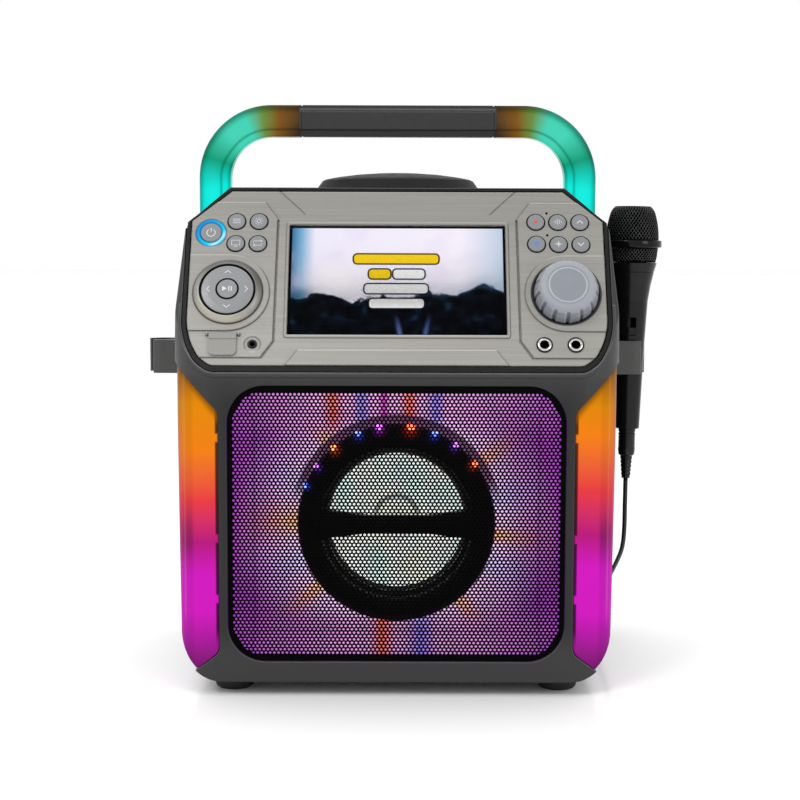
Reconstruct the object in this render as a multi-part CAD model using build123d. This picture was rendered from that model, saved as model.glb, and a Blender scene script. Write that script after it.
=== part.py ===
from build123d import *
import math
import os

# Portable karaoke machine: upright speaker cabinet with a sloping control
# panel and 7 inch screen, a top-loading disc well under a hinged lid, a lit
# carrying handle, lit side lamps, two microphone clips and one microphone.
# Millimetres.  +Z up, the front faces -Y.  X = 0 is the cabinet's middle plane.

# ------------------------------------------------------------------ sizes
HALF_W = 160.0          # cabinet half width
Y_FRONT = -100.0        # plane of the speaker front
Y_REAR = 132.0          # rear face
Z_BOT = 13.0            # underside of the cabinet, above the feet
TILT = 27.0             # lean of the control panel from vertical, degrees
PANEL_Y, PANEL_Z = -95.5, 243.0   # a point on the panel plane
Z_TOP = 366.1           # top deck
WALL = 2.6
R_FRONT, R_REAR = 32.0, 18.0      # plan corner radii
R_BOTTOM = 34.0                   # lower corner radius in the front view
FLOOR = 2.8             # level the feet stand on; the written parts are lowered by it
LAMP_IN = 1.7           # lamps sit this much inside the cabinet's skin

GRILLE_X, GRILLE_Z0, GRILLE_Z1, GRILLE_R = 120.1, 27.8, 225.7, 27.0
SPK_Z = 124.5           # loudspeaker axis height
TRIM_R = 71.5

SCREEN_U, SCREEN_V0, SCREEN_V1 = 78.3, 19.8, 107.2
BTN_R = 6.0             # small round key
HOLE_R = 6.6
KEY_TRAVEL = 0.6

HANDLE_Y = -14.0
TUBE = 23.2             # handle section
LEG_X, GRIP_ZC, BEND_R, GRIP_X = 135.4, 415.4, 42.2, 72.8

DISC_Y = 62.0           # disc centre
WELL_R = 62.0
LID_AX_Y, LID_AX_Z = 125.6, 370.0

MIC_X, MIC_Y = 180.3, 30.0
CLIP_R_IN, CLIP_R_OUT, CLIP_Z0, CLIP_Z1 = 12.4, 15.4, 225.2, 251.0

CORD_D = 3.6

# The written parts are moved so that the origin is under the middle of the
# machine with its clips and microphone, on the surface it stands on.
ORIGIN_X, ORIGIN_Y = 5.35, 17.75

sT, cT = math.sin(math.radians(TILT)), math.cos(math.radians(TILT))
PP = Plane(origin=(0, PANEL_Y, PANEL_Z), x_dir=(1, 0, 0), z_dir=(0, -cT, sT))

os.makedirs("parts", exist_ok=True)
for old in os.listdir("parts"):
    if old.endswith(".step"):
        os.remove(os.path.join("parts", old))


def save(name, shape):
    solids = shape.moved(Location((-ORIGIN_X, -ORIGIN_Y, -FLOOR))).solids()
    out = solids[0] if len(solids) == 1 else Compound(children=list(solids))
    out.label = name
    export_step(out, f"parts/{name}.step")
    print(name, len(solids), round(sum(s.volume for s in solids)))
    return out


def on_panel(shape):
    """From panel axes (u right, v up the slope, w outward) to the row frame."""
    return shape.moved(PP.location)


def cyl(r, w0, w1, u=0.0, v=0.0):
    return Pos(u, v, (w0 + w1) / 2) * Cylinder(r, w1 - w0)


def cone(r0, r1, w0, w1, u=0.0, v=0.0):
    return Pos(u, v, (w0 + w1) / 2) * Cone(r0, r1, w1 - w0)


def box(x0, x1, y0, y1, z0, z1):
    return Pos((x0 + x1) / 2, (y0 + y1) / 2, (z0 + z1) / 2) * Box(x1 - x0, y1 - y0, z1 - z0)


def poly_xz(pts, y0, y1):
    pl = Plane(origin=(0, y1, 0), x_dir=(1, 0, 0), z_dir=(0, -1, 0))
    f = make_face(Polyline(*[(p[0], p[1]) for p in pts], close=True))
    return extrude(pl * f, y1 - y0)


def poly_yz(pts, x0, x1):
    pl = Plane(origin=(x0, 0, 0), x_dir=(0, 1, 0), z_dir=(1, 0, 0))
    f = make_face(Polyline(*[(p[0], p[1]) for p in pts], close=True))
    return extrude(pl * f, x1 - x0)


def rrect_xz(cx, cz, w, h, r, y0, y1):
    pl = Plane(origin=(cx, y1, cz), x_dir=(1, 0, 0), z_dir=(0, -1, 0))
    return extrude(pl * RectangleRounded(w, h, r), y1 - y0)


def ycyl(r, y0, y1, x=0.0, z=0.0):
    return Pos(x, (y0 + y1) / 2, z) * Rot(90, 0, 0) * Cylinder(r, y1 - y0)


def xcyl(r, x0, x1, y, z):
    return Pos((x0 + x1) / 2, y, z) * Rot(0, 90, 0) * Cylinder(r, x1 - x0)


def turned(pts, x, y, about_y=False):
    """A solid of revolution about a vertical line; pts are (radius, height)."""
    f = make_face(Polyline(*[(p[0], 0, p[1]) for p in pts], close=True))
    return Pos(x, y, 0) * revolve(f, Axis.Z, 360)


def turned_y(pts, x=0.0, z=0.0):
    """A solid of revolution about a line along Y; pts are (radius, y)."""
    f = make_face(Polyline(*[(p[0], p[1], 0) for p in pts], close=True))
    return Pos(x, 0, z) * revolve(f, Axis.Y, 360)


# ------------------------------------------------------------------ cabinet
def envelope(i, side=None, front=0.0):
    """The cabinet's outer form, inset by i on every face."""
    s = i if side is None else side
    hw = HALF_W - s
    y0, y1 = Y_FRONT + i + front, Y_REAR - i
    plan = Plane.XY.offset(0) * make_face(
        FilletPolyline(
            (-hw, y0 + 60), (-hw, y0), (hw, y0), (hw, y0 + 60),
            radius=max(R_FRONT - s, 4))
        + Polyline((hw, y0 + 60), (hw, y1 - 30))
        + FilletPolyline((hw, y1 - 30), (hw, y1), (-hw, y1), (-hw, y1 - 30),
                         radius=max(R_REAR - s, 3))
        + Polyline((-hw, y1 - 30), (-hw, y0 + 60)))
    plan = extrude(plan, 400)
    zb, zt = Z_BOT + i, Z_TOP - i
    k = i * 0.42
    # the sides draw in a little towards the base and above the lamps
    xb, xm = hw - 3.6, hw - 3.6 * (145.0 - i) / 212.0
    low = FilletPolyline((-xm, zb + 67), (-xb, zb), (xb, zb), (xm, zb + 67),
                         radius=R_BOTTOM - s)
    up = [(hw, 225), (hw - 1.2, 259), (hw - 2.0, 281), (hw - 3.6, 303), (hw - 5.0, 324), (hw - 5.8, 335.5),
          (hw - 8.0, 338.0), (hw - 8.0, 340.4), (123.0 - k, zt)]
    rest = Polyline((xm, zb + 67), *up, *[(-a, b) for a, b in reversed(up)], (-xm, zb + 67))
    pl = Plane(origin=(0, 150, 0), x_dir=(1, 0, 0), z_dir=(0, -1, 0))
    fr = extrude(pl * make_face(low + rest), 280)
    d = i / cT
    zc = PANEL_Z + (y0 - (PANEL_Y + d)) / math.tan(math.radians(TILT))
    yt = PANEL_Y + d + (zt - PANEL_Z) * math.tan(math.radians(TILT))
    prof = poly_yz([(y0, 0), (y0, zc), (yt, zt), (y1, zt), (y1, 0)], -200, 200)
    return plan & fr & prof


CORNER = [((0.0, 31.0), 46.0), ((2.9, 18.2), 40.0), ((8.8, 6.6), 16.0), ((17.5, 0.0), 8.0)]


def panel_outline(top, cham, side, bottom):
    """The control panel's outline grown by different amounts on its sides.

    The lower corners turn slowly at the side and quickly at the bottom."""
    t, s, b = 134.6 + top, 149.4 + side, -3.65 - bottom
    # the corner cut is moved out along its own normal
    u1, v1, u2, v2 = 121.3, 134.6, 149.4, 109.5
    dx, dy = u2 - u1, v2 - v1
    ln = math.hypot(dx, dy)
    nx, ny = -dy / ln, dx / ln
    ax, ay = u1 + nx * cham, v1 + ny * cham
    ut = ax + (t - ay) * dx / dy
    vs = ay + (s - ax) * dy / dx
    # the corner's edges, each moved out along its normal
    raw = [(149.4, 60.0)] + [(149.4 - p, -3.65 + q) for (p, q), _ in CORNER] + [(0.0, -3.65)]
    edges = []
    for (x0, y0), (x1, y1) in zip(raw, raw[1:]):
        l = math.hypot(x1 - x0, y1 - y0)
        ex, ey = -(y1 - y0) / l, (x1 - x0) / l
        g = side * ex * ex + bottom * ey * ey
        edges.append((ex, ey, ex * x0 + ey * y0 + g))
    pts = []
    for (a1, b1, c1), (a2, b2, c2) in zip(edges, edges[1:]):
        det = a1 * b2 - a2 * b1
        pts.append(((c1 * b2 - c2 * b1) / det, (a1 * c2 - a2 * c1) / det))
    rad = [r + (side + bottom) / 2 for _, r in CORNER]
    v = [Vector(s, b + 70), *[Vector(*p) for p in pts], *[Vector(-p[0], p[1]) for p in reversed(pts)], Vector(-s, b + 70)]
    low = FilletPolyline(*v, radius=rad + rad[::-1])
    rest = Polyline((-s, b + 70), (-s, vs), (-ut, t), (ut, t), (s, vs), (s, b + 70))
    return make_face(low + rest)


def panel_prism(face, w0, w1):
    return on_panel(Pos(0, 0, w0) * extrude(face, w1 - w0))


env0 = envelope(0)
env1 = envelope(WALL)
shell = env0 - env1

lower_half = box(-200, 200, -150, -42, -10, 500)
slope_half = panel_prism(make_face(Polyline((-220, -400), (220, -400), (220, 300), (-220, 300), close=True)), -10, 60)
front_region = lower_half + slope_half


def lamp_outline(s, g, gap):
    """Lamp area in the front view for side s, shrunk by g; gap is extra at the pillar."""
    x_in = 125.9 + g + gap
    pts = [(x_in, 46 + g), (x_in, 203 - g)]
    face_pts = [(x_in, 34.0 + g * 1.2), (x_in, 206.6 - g * 0.9 + gap * 0.5),
                (167, 249.5 - g * 1.4), (185, 249.5 - g * 1.4), (185, 0), (152, 14)]
    face_pts = [(s * a, b) for a, b in face_pts]
    f = make_face(FilletPolyline(*face_pts, radius=9.0, close=True))
    pl = Plane(origin=(0, 0, 0), x_dir=(1, 0, 0), z_dir=(0, -1, 0))
    return pl * f


def lamp_prism(s, g, gap, y0, y1):
    f = lamp_outline(s, g, gap)
    return Pos(0, y1, 0) * extrude(f, y1 - y0)


front = shell & front_region
front -= rrect_xz(0, (GRILLE_Z0 + GRILLE_Z1) / 2, 2 * GRILLE_X, GRILLE_Z1 - GRILLE_Z0, GRILLE_R, -120, -80)
# inner lip that the grille and the light pan sit on
ledge = rrect_xz(0, (GRILLE_Z0 + GRILLE_Z1) / 2, 2 * GRILLE_X + 3.2, GRILLE_Z1 - GRILLE_Z0 + 3.2, GRILLE_R + 1.6, Y_FRONT + WALL, -88) \
    - rrect_xz(0, (GRILLE_Z0 + GRILLE_Z1) / 2, 2 * GRILLE_X, GRILLE_Z1 - GRILLE_Z0, GRILLE_R, -120, -80)
front += ledge
open_face = panel_outline(2.6, 2.6, 4.2, 5.6)
front -= panel_prism(open_face, -20, 10)
# a rim round the panel opening that carries the dark bezel
rim_out = panel_outline(0.6, 0.6, 5.8, 7.2)
rim_in = panel_outline(-3.0, -3.0, 1.0, 1.0)
rim = (panel_prism(rim_out, -9.0, -7.0) - panel_prism(rim_in, -20, 10)) & envelope(0.4)
side_rim = (panel_prism(panel_outline(3.4, 3.4, 6.2, 8.8), -9.0, -0.0) - panel_prism(open_face, -20, 10)) & envelope(0.0)
# a step that stands proud round the lower part of the opening
step = (panel_prism(panel_outline(3.4, 3.4, 6.2, 8.8), -4.0, 6.0) - panel_prism(open_face, -20, 10)) & envelope(-0.7)
step = step - envelope(0.6) - box(-200, 200, -150, 150, 282, 400)
front += rim
front += side_rim
front += step
for s in (-1, 1):
    front -= lamp_prism(s, 0, 0, -130, -46)
    # compartment walls behind each lamp
    wall_in = box(*sorted((s * 121.8, s * 123.6)), Y_FRONT + 1.0, -43, 22, 229) & env0
    wall_back = box(*sorted((s * 121.8, s * 158.5)), -46, -44, 20, 240) & env0
    front += wall_in
    front += wall_back

# handle legs pass through the shoulders
def leg_profile(k):
    return RectangleRounded(TUBE + k, TUBE + k, 6.0 + k / 2)


def handle_path(s, z0, x_end):
    return FilletPolyline((s * LEG_X, HANDLE_Y, z0), (s * LEG_X, HANDLE_Y, GRIP_ZC), (s * x_end, HANDLE_Y, GRIP_ZC), radius=BEND_R)


def leg_cut(s):
    return Pos(s * LEG_X, HANDLE_Y, 330) * extrude(leg_profile(0.5), 60)


for s in (-1, 1):
    front -= leg_cut(s)
    # heel that the leg stands on
save("front_cabinet", front)

rear = shell - front_region
for s in (-1, 1):
    rear -= leg_cut(s)
    shelf = box(*sorted((s * 121, s * 156.0)), -29, 6, 326, 329.7) & envelope(1.0)
    shelf -= front_region
    rear += shelf
# disc well opening in the deck and its hinge ears
rear -= Pos(0, DISC_Y, 355) * Cylinder(WELL_R + 2.4, 40)
for s in (-1, 1):
    ear = box(*sorted((s * 46.4, s * 50.4)), LID_AX_Y - 3.0, LID_AX_Y + 3.0, Z_TOP - 1.5, LID_AX_Z) + xcyl(3.0, *sorted((s * 46.4, s * 50.4)), LID_AX_Y, LID_AX_Z)
    pin = xcyl(1.5, *sorted((s * 38.5, s * 47.0)), LID_AX_Y, LID_AX_Z)
    rear += ear + pin
# rear: jack plate opening, bass port, screw wells
JP = (-52.0, 52.0, 40.0, 86.0)
rear -= box(JP[0], JP[1], Y_REAR - 6, Y_REAR + 6, JP[2], JP[3])
PORT_X, PORT_Z = 86.0, 236.0
rear -= ycyl(24.5, Y_REAR - 8, Y_REAR + 4, PORT_X, PORT_Z)
port = turned_y([(24.5, Y_REAR - 2.6), (24.5, Y_REAR), (24.0, Y_REAR), (21.0, Y_REAR - 1.2), (19.2, Y_REAR - 5), (19.0, Y_REAR - 60), (21.2, Y_REAR - 60), (21.4, Y_REAR - 6)], PORT_X, PORT_Z)
rear += port
SCREWS = [(-138, 60), (138, 60), (-138, 300), (138, 300), (-138, 180), (138, 180), (0, 28), (0, 340)]
for x, z in SCREWS:
    rear -= ycyl(4.6, Y_REAR - 8, Y_REAR + 3, x, z)
    rear += ycyl(6.4, Y_REAR - 16, Y_REAR - 1.0, x, z) - ycyl(4.6, Y_REAR - 12, Y_REAR + 3, x, z) - ycyl(1.7, Y_REAR - 20, Y_REAR, x, z)
# cooling slots
for k in range(9):
    rear -= rrect_xz(-72, 250 - k * 7.0, 74, 2.6, 1.29, Y_REAR - 8, Y_REAR + 4)
# the rear half is built from five mouldings that butt together: two sides, the
# base, the deck and the back plate that the screws hold
BACK_W, BACK_Z0, BACK_Z1 = 291.0, 19.5, 335.0
back_zone = rrect_xz(0, (BACK_Z0 + BACK_Z1) / 2, BACK_W, BACK_Z1 - BACK_Z0, 24.0, 100, 160) + ycyl(26.0, 60, 101, PORT_X, PORT_Z)
rear -= rrect_xz(0, (BACK_Z0 + BACK_Z1) / 2, BACK_W + 1.2, BACK_Z1 - BACK_Z0 + 1.2, 24.6, Y_REAR - 0.8, 160) \
    - rrect_xz(0, (BACK_Z0 + BACK_Z1) / 2, BACK_W, BACK_Z1 - BACK_Z0, 24.0, Y_REAR - 1.0, 160)
cuts = {
    "back": back_zone,
    "deck": box(-200, 200, -150, 150, 333, 400),
    "base": box(-137, 137, -150, 150, 0, 40),
}
parts = []
rest = rear
for key in ("back", "deck", "base"):
    parts += (rest & cuts[key]).solids()
    rest = rest - cuts[key]
parts += rest.solids()
print("rear mouldings", [(round(q.volume), [round(c) for c in (q.bounding_box().min.X, q.bounding_box().max.X)]) for q in parts])
save("rear_cabinet", Compound(children=parts))
scr = [turned_y([(0, Y_REAR - 12.0), (1.5, Y_REAR - 12.0), (1.5, Y_REAR - 22), (0, Y_REAR - 23.5)], x, z)
       + turned_y([(0, Y_REAR - 12.0), (3.4, Y_REAR - 12.0), (3.4, Y_REAR - 10.6), (2.2, Y_REAR - 9.8), (0, Y_REAR - 9.6)], x, z)
       - box(x - 2.2, x + 2.2, Y_REAR - 10.8, Y_REAR - 9, z - 0.45, z + 0.45)
       - box(x - 0.45, x + 0.45, Y_REAR - 10.8, Y_REAR - 9, z - 2.2, z + 2.2) for x, z in SCREWS]
save("housing_screws", Compound(children=[q for c in scr for q in c.solids()]))

# ------------------------------------------------------------------ control panel
KEYS = {
    "key_function": (-116.9, 109.3), "key_lights": (-100.7, 109.3),
    "key_monitor": (-117.0, 91.4), "key_repeat": (-101.0, 91.4),
    "key_record": (100.7, 109.4), "key_voice": (116.6, 109.3), "key_mic_up": (132.7, 109.2),
    "key_wireless": (100.8, 91.6), "key_effects": (116.7, 91.4), "key_mic_down": (132.9, 91.3),
}
POWER = (-135.2, 100.0)
DPAD = (-121.1, 52.4)
DPAD_R, DPAD_HOLE, PLAY_R = 18.9, 20.1, 7.3
PIV_W = -6.0
KNOB = (120.9, 52.3)
MIC_JACKS = [(104.3, 12.2), (126.4, 12.2)]
LINE_IN = (-102.3, 12.2)
PORT = (-123.4, 12.0)
ISL, REG = 0.9, 1.8            # heights of the two raised levels of the panel
BOARD_W = -7.8                 # front face of the key board


def pface(pts):
    return make_face(Polyline(*pts, close=True))


def lift(face, w0, h, taper=0):
    return Pos(0, 0, w0) * extrude(face, h, taper=taper)


P0 = panel_outline(0, 0, 0, 0)
plate = lift(P0, -2.2, 2.2)
skirt = lift(P0, -7.0, 5.0) - lift(panel_outline(-2.2, -2.2, -2.2, -2.2), -8.0, 7.0)
pan = plate + skirt
for s in (-1, 1):
    isl = P0 & pface([(s * 200, 125.5), (s * 96.3, 125.5), (s * 86.2, 111), (s * 87.0, 14.4), (s * 95.5, 2.1), (s * 200, 2.1)])
    pan += lift(isl, -0.2, ISL + 0.2, 0)
    reg = P0 & (Pos(s * 121.3, 52.3) * Circle(29.9) + pface([(s * 200, 22.4), (s * 121.3, 22.4), (s * 121.3, 82.2), (s * 200, 82.2)]))
    pan += lift(reg, -0.2, REG + 0.2, 0)
    # thin groove along the island's inner side
    groove = pface([(s * 86.2, 111), (s * 87.0, 14.4), (s * 95.5, 2.1), (s * 96.3, 2.8), (s * 88.1, 14.8), (s * 87.3, 110.7)])
    pan -= lift(groove, -0.5, 3)
# raised lower step and the diagonal seams
trap = pface([(-79.2, -3.65), (-70.4, 8.2), (70.4, 8.2), (79.2, -3.65)])
pan += lift(trap, -0.2, 1.1, 0)
for s in (-1, 1):
    seam = pface([(s * 85.6, 134.6), (s * 67.1, 116.2), (s * 67.6, 115.7), (s * 86.6, 134.6)])
    pan -= lift(seam, -0.35, 2)
scr_c = (SCREEN_V0 + SCREEN_V1) / 2
scr_h = SCREEN_V1 - SCREEN_V0
frame_o = Pos(0, scr_c) * RectangleRounded(2 * SCREEN_U + 4.4, scr_h + 4.4, 2.0)
pan += lift(frame_o, -0.2, 0.7)
pan -= lift(Pos(0, scr_c) * RectangleRounded(2 * SCREEN_U, scr_h, 1.0), -5, 10)
for u, v in KEYS.values():
    pan -= cyl(HOLE_R, -5, 5, u, v)
pan -= cyl(11.15, -5, 5, *POWER)
# a raised rounded ring stands round the direction pad
pan += Pos(*DPAD, 0) * revolve(make_face(Polyline((19.0, 0, -0.5), (25.0, 0, -0.5), (25.0, 0, REG), (24.6, 0, 3.0), (23.6, 0, 4.4), (22.4, 0, 5.5),
                                                   (21.4, 0, 6.1), (20.8, 0, 6.3), (19.0, 0, 6.3), close=True)), Axis.Z, 360)
pan -= cyl(DPAD_HOLE, -5, 9, *DPAD)
pan -= cyl(24.2, -1.0, 5, *KNOB)
pan -= cyl(4.6, -5, 5, *KNOB)
for u, v in MIC_JACKS:
    pan -= cyl(5.1, -5, 5, u, v)
pan -= cyl(3.3, -5, 5, *LINE_IN)
pan -= cone(5.6, 6.0, 0.5, ISL + 0.01, *LINE_IN)
pan -= lift(Pos(*PORT) * RectangleRounded(15.2, 7.4, 0.8), -5, 10)
for s in (-1, 1):
    for u, v in ((92.0, 80.0), (143.0, 80.0), (92.0, 29.0), (142.5, 30.0)):
        pan += cyl(2.6, BOARD_W, -2.0, s * u, v) - cyl(1.0, BOARD_W - 1, -3.0, s * u, v)
    ear = lift(Pos(PORT[0] + s * 11.3, 19.6) * Rectangle(1.6, 2.2), 0.4, 2.7)
    pin = Pos(PORT[0] + s * 10.1, 19.6, 2.0) * Rot(0, 90, 0) * Cylinder(0.5, 1.8)
    pan += ear + pin
save("control_panel", on_panel(pan))

bez = lift(panel_outline(1.9, 1.9, 3.5, 4.9), -7.0, 7.5) - lift(panel_outline(0.7, 0.7, 0.9, 0.9), -8.0, 10)
save("panel_bezel", on_panel(bez) & envelope(-0.6))

win = lift(Pos(0, scr_c) * RectangleRounded(2 * SCREEN_U - 0.5, scr_h - 0.5, 0.8), -2.2, 1.9)
save("screen_window", on_panel(win))
lcd = lift(Pos(0, scr_c) * Rectangle(166.0, 98.0), -7.6, 5.4)
lcd += lift(Pos(0, scr_c - 8) * Rectangle(70.0, 46.0), -10.4, 2.8)
save("lcd_module", on_panel(lcd))

# round keys: cap, flange behind the panel and a short stem onto its switch
for name, (u, v) in KEYS.items():
    k = cyl(BTN_R, -3.0, 1.75, u, v) + cone(BTN_R, BTN_R - 0.45, 1.75, 2.1, u, v)
    k += cyl(7.3, -4.2, -2.7, u, v) + cyl(1.5, -4.85, -4.0, u, v)
    save(name, on_panel(k))
pr = cyl(11.0, -3.8, 1.0, *POWER) + cone(11.0, 10.4, 1.0, 1.6, *POWER) + cyl(11.6, -3.8, -2.2, *POWER) - cyl(7.95, -6, 6, *POWER)
save("power_light_ring", on_panel(pr))
pb = cyl(7.45, -4.1, 1.7, *POWER) + cone(7.45, 7.0, 1.7, 2.0, *POWER) + cyl(9.2, -4.9, -3.9, *POWER) + cyl(1.5, -5.0, -4.2, *POWER)
save("power_button", on_panel(pb))
pl = cyl(PLAY_R, -4.2, 7.3, *DPAD) + cone(PLAY_R, 6.9, 7.3, 7.7, *DPAD) + cyl(8.7, -5.0, -4.1, *DPAD) + cyl(1.5, -5.2, -4.8, *DPAD)
save("play_button", on_panel(pl))
dp_prof = make_face(Polyline((0, 0, -3.4), (DPAD_R, 0, -3.4), (DPAD_R, 0, 5.8), (DPAD_R - 0.7, 0, 6.5), (14.0, 0, 7.1), (0, 0, 7.4), close=True))
dp = Pos(*DPAD, 0) * revolve(dp_prof, Axis.Z, 360)
dp += cyl(20.7, -4.6, -3.4, *DPAD) - cyl(17.0, -6, -3.4, *DPAD)
dp -= cyl(8.15, -6, 9, *DPAD)
for s in (-1, 1):
    lug = Pos(DPAD[0], DPAD[1] + s * 13.7, -5.15) * Box(3.6, 2.2, 3.6)
    lug -= Pos(DPAD[0], DPAD[1] + s * 13.7, PIV_W) * Rot(90, 0, 0) * Cylinder(0.86, 6)
    dp += lug
for a in range(4):
    dp += cyl(1.2, -5.1, -3.3, DPAD[0] + 18.2 * math.cos(a * math.pi / 2), DPAD[1] + 18.2 * math.sin(a * math.pi / 2))
save("dpad", on_panel(dp))
gim = cyl(12.0, -6.8, -5.2, *DPAD) - cyl(9.6, -8, -3, *DPAD)
for a in (0, 90):
    for s in (-1, 1):
        gim += Pos(*DPAD, PIV_W) * Rot(0, 0, a) * Pos(s * 13.1, 0, 0) * Rot(0, 90, 0) * Cylinder(0.8, 3.0)
save("dpad_pivot", on_panel(gim))

brd = lift(pface([(-145, 24.5), (-88, 24.5), (-88, 122), (-126, 122), (-145, 106)]), BOARD_W - 1.6, 1.6)
brd += lift(pface([(145, 24.5), (88, 24.5), (88, 122), (126, 122), (145, 106)]), BOARD_W - 1.6, 1.6)
brd = brd & lift(panel_outline(-5, -5, -5, -5), -20, 30)
for u, v in list(KEYS.values()):
    brd += lift(Pos(u, v) * Rectangle(6, 6), BOARD_W, 1.8) + cyl(1.6, BOARD_W + 1.6, -5.5, u, v)
brd += lift(Pos(*POWER) * Rectangle(6, 6), BOARD_W, 1.6) + cyl(1.6, BOARD_W + 1.4, -5.65, *POWER)
brd += lift(Pos(*DPAD) * Rectangle(6, 6), BOARD_W, 1.4) + cyl(1.6, BOARD_W + 1.2, -5.85, *DPAD)
for s in (-1, 1):
    post = Pos(DPAD[0] + s * 13.7, DPAD[1], -6.35) * Box(2.2, 3.6, 3.0)
    post -= Pos(DPAD[0] + s * 13.7, DPAD[1], PIV_W) * Rot(0, 90, 0) * Cylinder(0.86, 6)
    brd += post
for a in range(4):
    u, v = DPAD[0] + 18.2 * math.cos(a * math.pi / 2), DPAD[1] + 18.2 * math.sin(a * math.pi / 2)
    brd += lift(Pos(u, v) * Rectangle(4.4, 4.4), BOARD_W, 1.2) + cyl(1.0, BOARD_W + 1.0, -6.1, u, v)
brd -= lift(Pos(*KNOB) * Rectangle(12.6, 12.6), -12, 8)
save("key_board", on_panel(brd))

enc = lift(Pos(*KNOB) * Rectangle(12.6, 12.6), -11.0, 8.8) + cyl(3.5, -2.4, -1.2, *KNOB) + cyl(3.0, -2.3, 10.0, *KNOB)
save("volume_encoder", on_panel(enc))
kn = make_face(Polyline((0, 0, 0.0), (22.6, 0, 0.0), (23.0, 0, 0.5), (23.0, 0, 3.0), (22.6, 0, 8.0), (21.0, 0, 12.4), (19.4, 0, 14.8), (18.2, 0, 15.6), (14.2, 0, 16.3), (13.75, 0, 16.0), (12.6, 0, 16.3), (0, 0, 16.7), close=True))
knob = Pos(*KNOB, 0) * revolve(kn, Axis.Z, 360)
for a in range(14):
    t = 2 * math.pi * (a + 0.5) / 14
    knob -= Pos(KNOB[0] + 23.6 * math.cos(t), KNOB[1] + 23.6 * math.sin(t), 4.4) * Cylinder(1.5, 9.0)
    knob -= Pos(KNOB[0] + 23.6 * math.cos(t), KNOB[1] + 23.6 * math.sin(t), 8.9) * Sphere(1.5)
knob -= cyl(3.05, -1, 10.6, *KNOB)
save("volume_knob", on_panel(knob))

jk = []
for u, v in MIC_JACKS:
    j = cyl(7.4, -31.0, -2.2, u, v) + cyl(5.0, -2.3, 1.9, u, v) + (cyl(5.9, ISL, 1.5, u, v)) - cyl(3.2, -27.5, 6, u, v)
    jk.append(on_panel(j))
j = cyl(4.6, -19.0, -2.2, *LINE_IN) + cyl(3.2, -2.3, 1.3, *LINE_IN) - cyl(1.8, -16.0, 6, *LINE_IN)
jk.append(on_panel(j))
save("input_jacks", Compound(children=[q for c in jk for q in c.solids()]))
usb = lift(Pos(*PORT) * Rectangle(14.4, 6.6), -15.0, 15.2) - lift(Pos(*PORT) * Rectangle(12.6, 4.8), -12.0, 20)
usb += lift(Pos(PORT[0], PORT[1] + 1.0) * Rectangle(11.4, 1.6), -12.2, 11.6)
usb += lift(Pos(*PORT) * Rectangle(19.0, 10.0), -3.8, 1.6) - lift(Pos(*PORT) * Rectangle(14.4, 6.6), -6, 8)
save("usb_port", on_panel(usb))
pc = lift(Pos(PORT[0], 11.7) * RectangleRounded(19.6, 16.6, 3.4), 1.0, 1.5)
pc += lift(Pos(PORT[0], 17.6) * Rectangle(19.6, 3.6), 1.0, 2.0)
pc += Pos(PORT[0], 19.6, 2.0) * Rot(0, 90, 0) * Cylinder(1.0, 19.6)
pc -= lift(Pos(PORT[0], 21.6) * Rectangle(30, 4.0), 2.0, 4)
pc += Pos(PORT[0], 19.6, 2.0) * Rot(0, 90, 0) * Cylinder(1.0, 19.6)
pc -= Pos(PORT[0], 19.6, 2.0) * Rot(0, 90, 0) * Cylinder(0.56, 30)
save("port_cover", on_panel(pc))

# ------------------------------------------------------------------ loudspeaker bay
def rr(w, z0, z1, r, y):
    pl = Plane(origin=(0, y, (z0 + z1) / 2), x_dir=(1, 0, 0), z_dir=(0, -1, 0))
    return pl * RectangleRounded(2 * w, z1 - z0, r)


GR = rrect_xz(0, (GRILLE_Z0 + GRILLE_Z1) / 2, 2 * (GRILLE_X - 0.3), GRILLE_Z1 - GRILLE_Z0 - 0.6, GRILLE_R - 0.3, -98.6, -97.8)
save("speaker_grille", GR)
gx, g0, g1 = GRILLE_X - 0.4, GRILLE_Z0 + 0.4, GRILLE_Z1 - 0.4
BACK_Y = -74.0
lp = loft([rr(gx, g0, g1, GRILLE_R - 0.4, -97.8), rr(105.0, 42.6, 206.0, 18.0, BACK_Y)]) \
    - loft([rr(gx - 1.8, g0 + 1.8, g1 - 1.8, GRILLE_R - 2.2, -97.81), rr(103.0, 44.6, 204.0, 16.0, BACK_Y + 0.01)])
lp += rrect_xz(0, (42.6 + 206.0) / 2, 210, 163.4, 18.0, BACK_Y, BACK_Y + 2.0)
lp -= ycyl(60.0, -80, -60, 0, SPK_Z)
fl = rrect_xz(0, (GRILLE_Z0 + GRILLE_Z1) / 2, 2 * GRILLE_X + 3.0, GRILLE_Z1 - GRILLE_Z0 + 3.0, GRILLE_R + 1.5, -88.0, -86.0)
fl -= loft([rr(gx - 1.0, g0 + 1.0, g1 - 1.0, GRILLE_R - 1.4, -97.81), rr(104.0, 43.6, 205.0, 17.0, BACK_Y)])
lp += fl
save("light_pan", lp)

ring = turned_y([(TRIM_R, BACK_Y), (TRIM_R, -79.0), (70.4, -82.4), (66.5, -85.4), (60.0, -86.4), (56.0, -85.6), (54.5, -83.6),
                 (54.5, BACK_Y), (56.5, BACK_Y), (56.8, -83.0), (60.2, -84.0), (65.6, -83.2), (68.4, -80.6), (69.4, -78.0), (69.4, BACK_Y)], 0, SPK_Z)
bar = poly_xz([(-56.0, SPK_Z + 10.8), (-20, SPK_Z + 6.2), (20, SPK_Z + 6.2), (56.0, SPK_Z + 10.8),
               (56.0, SPK_Z - 10.8), (20, SPK_Z - 6.2), (-20, SPK_Z - 6.2), (-56.0, SPK_Z - 10.8)], -85.0, -78.0)
bar = bar & ycyl(55.5, -90, -70, 0, SPK_Z)
save("speaker_trim_ring", ring + bar)

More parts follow.
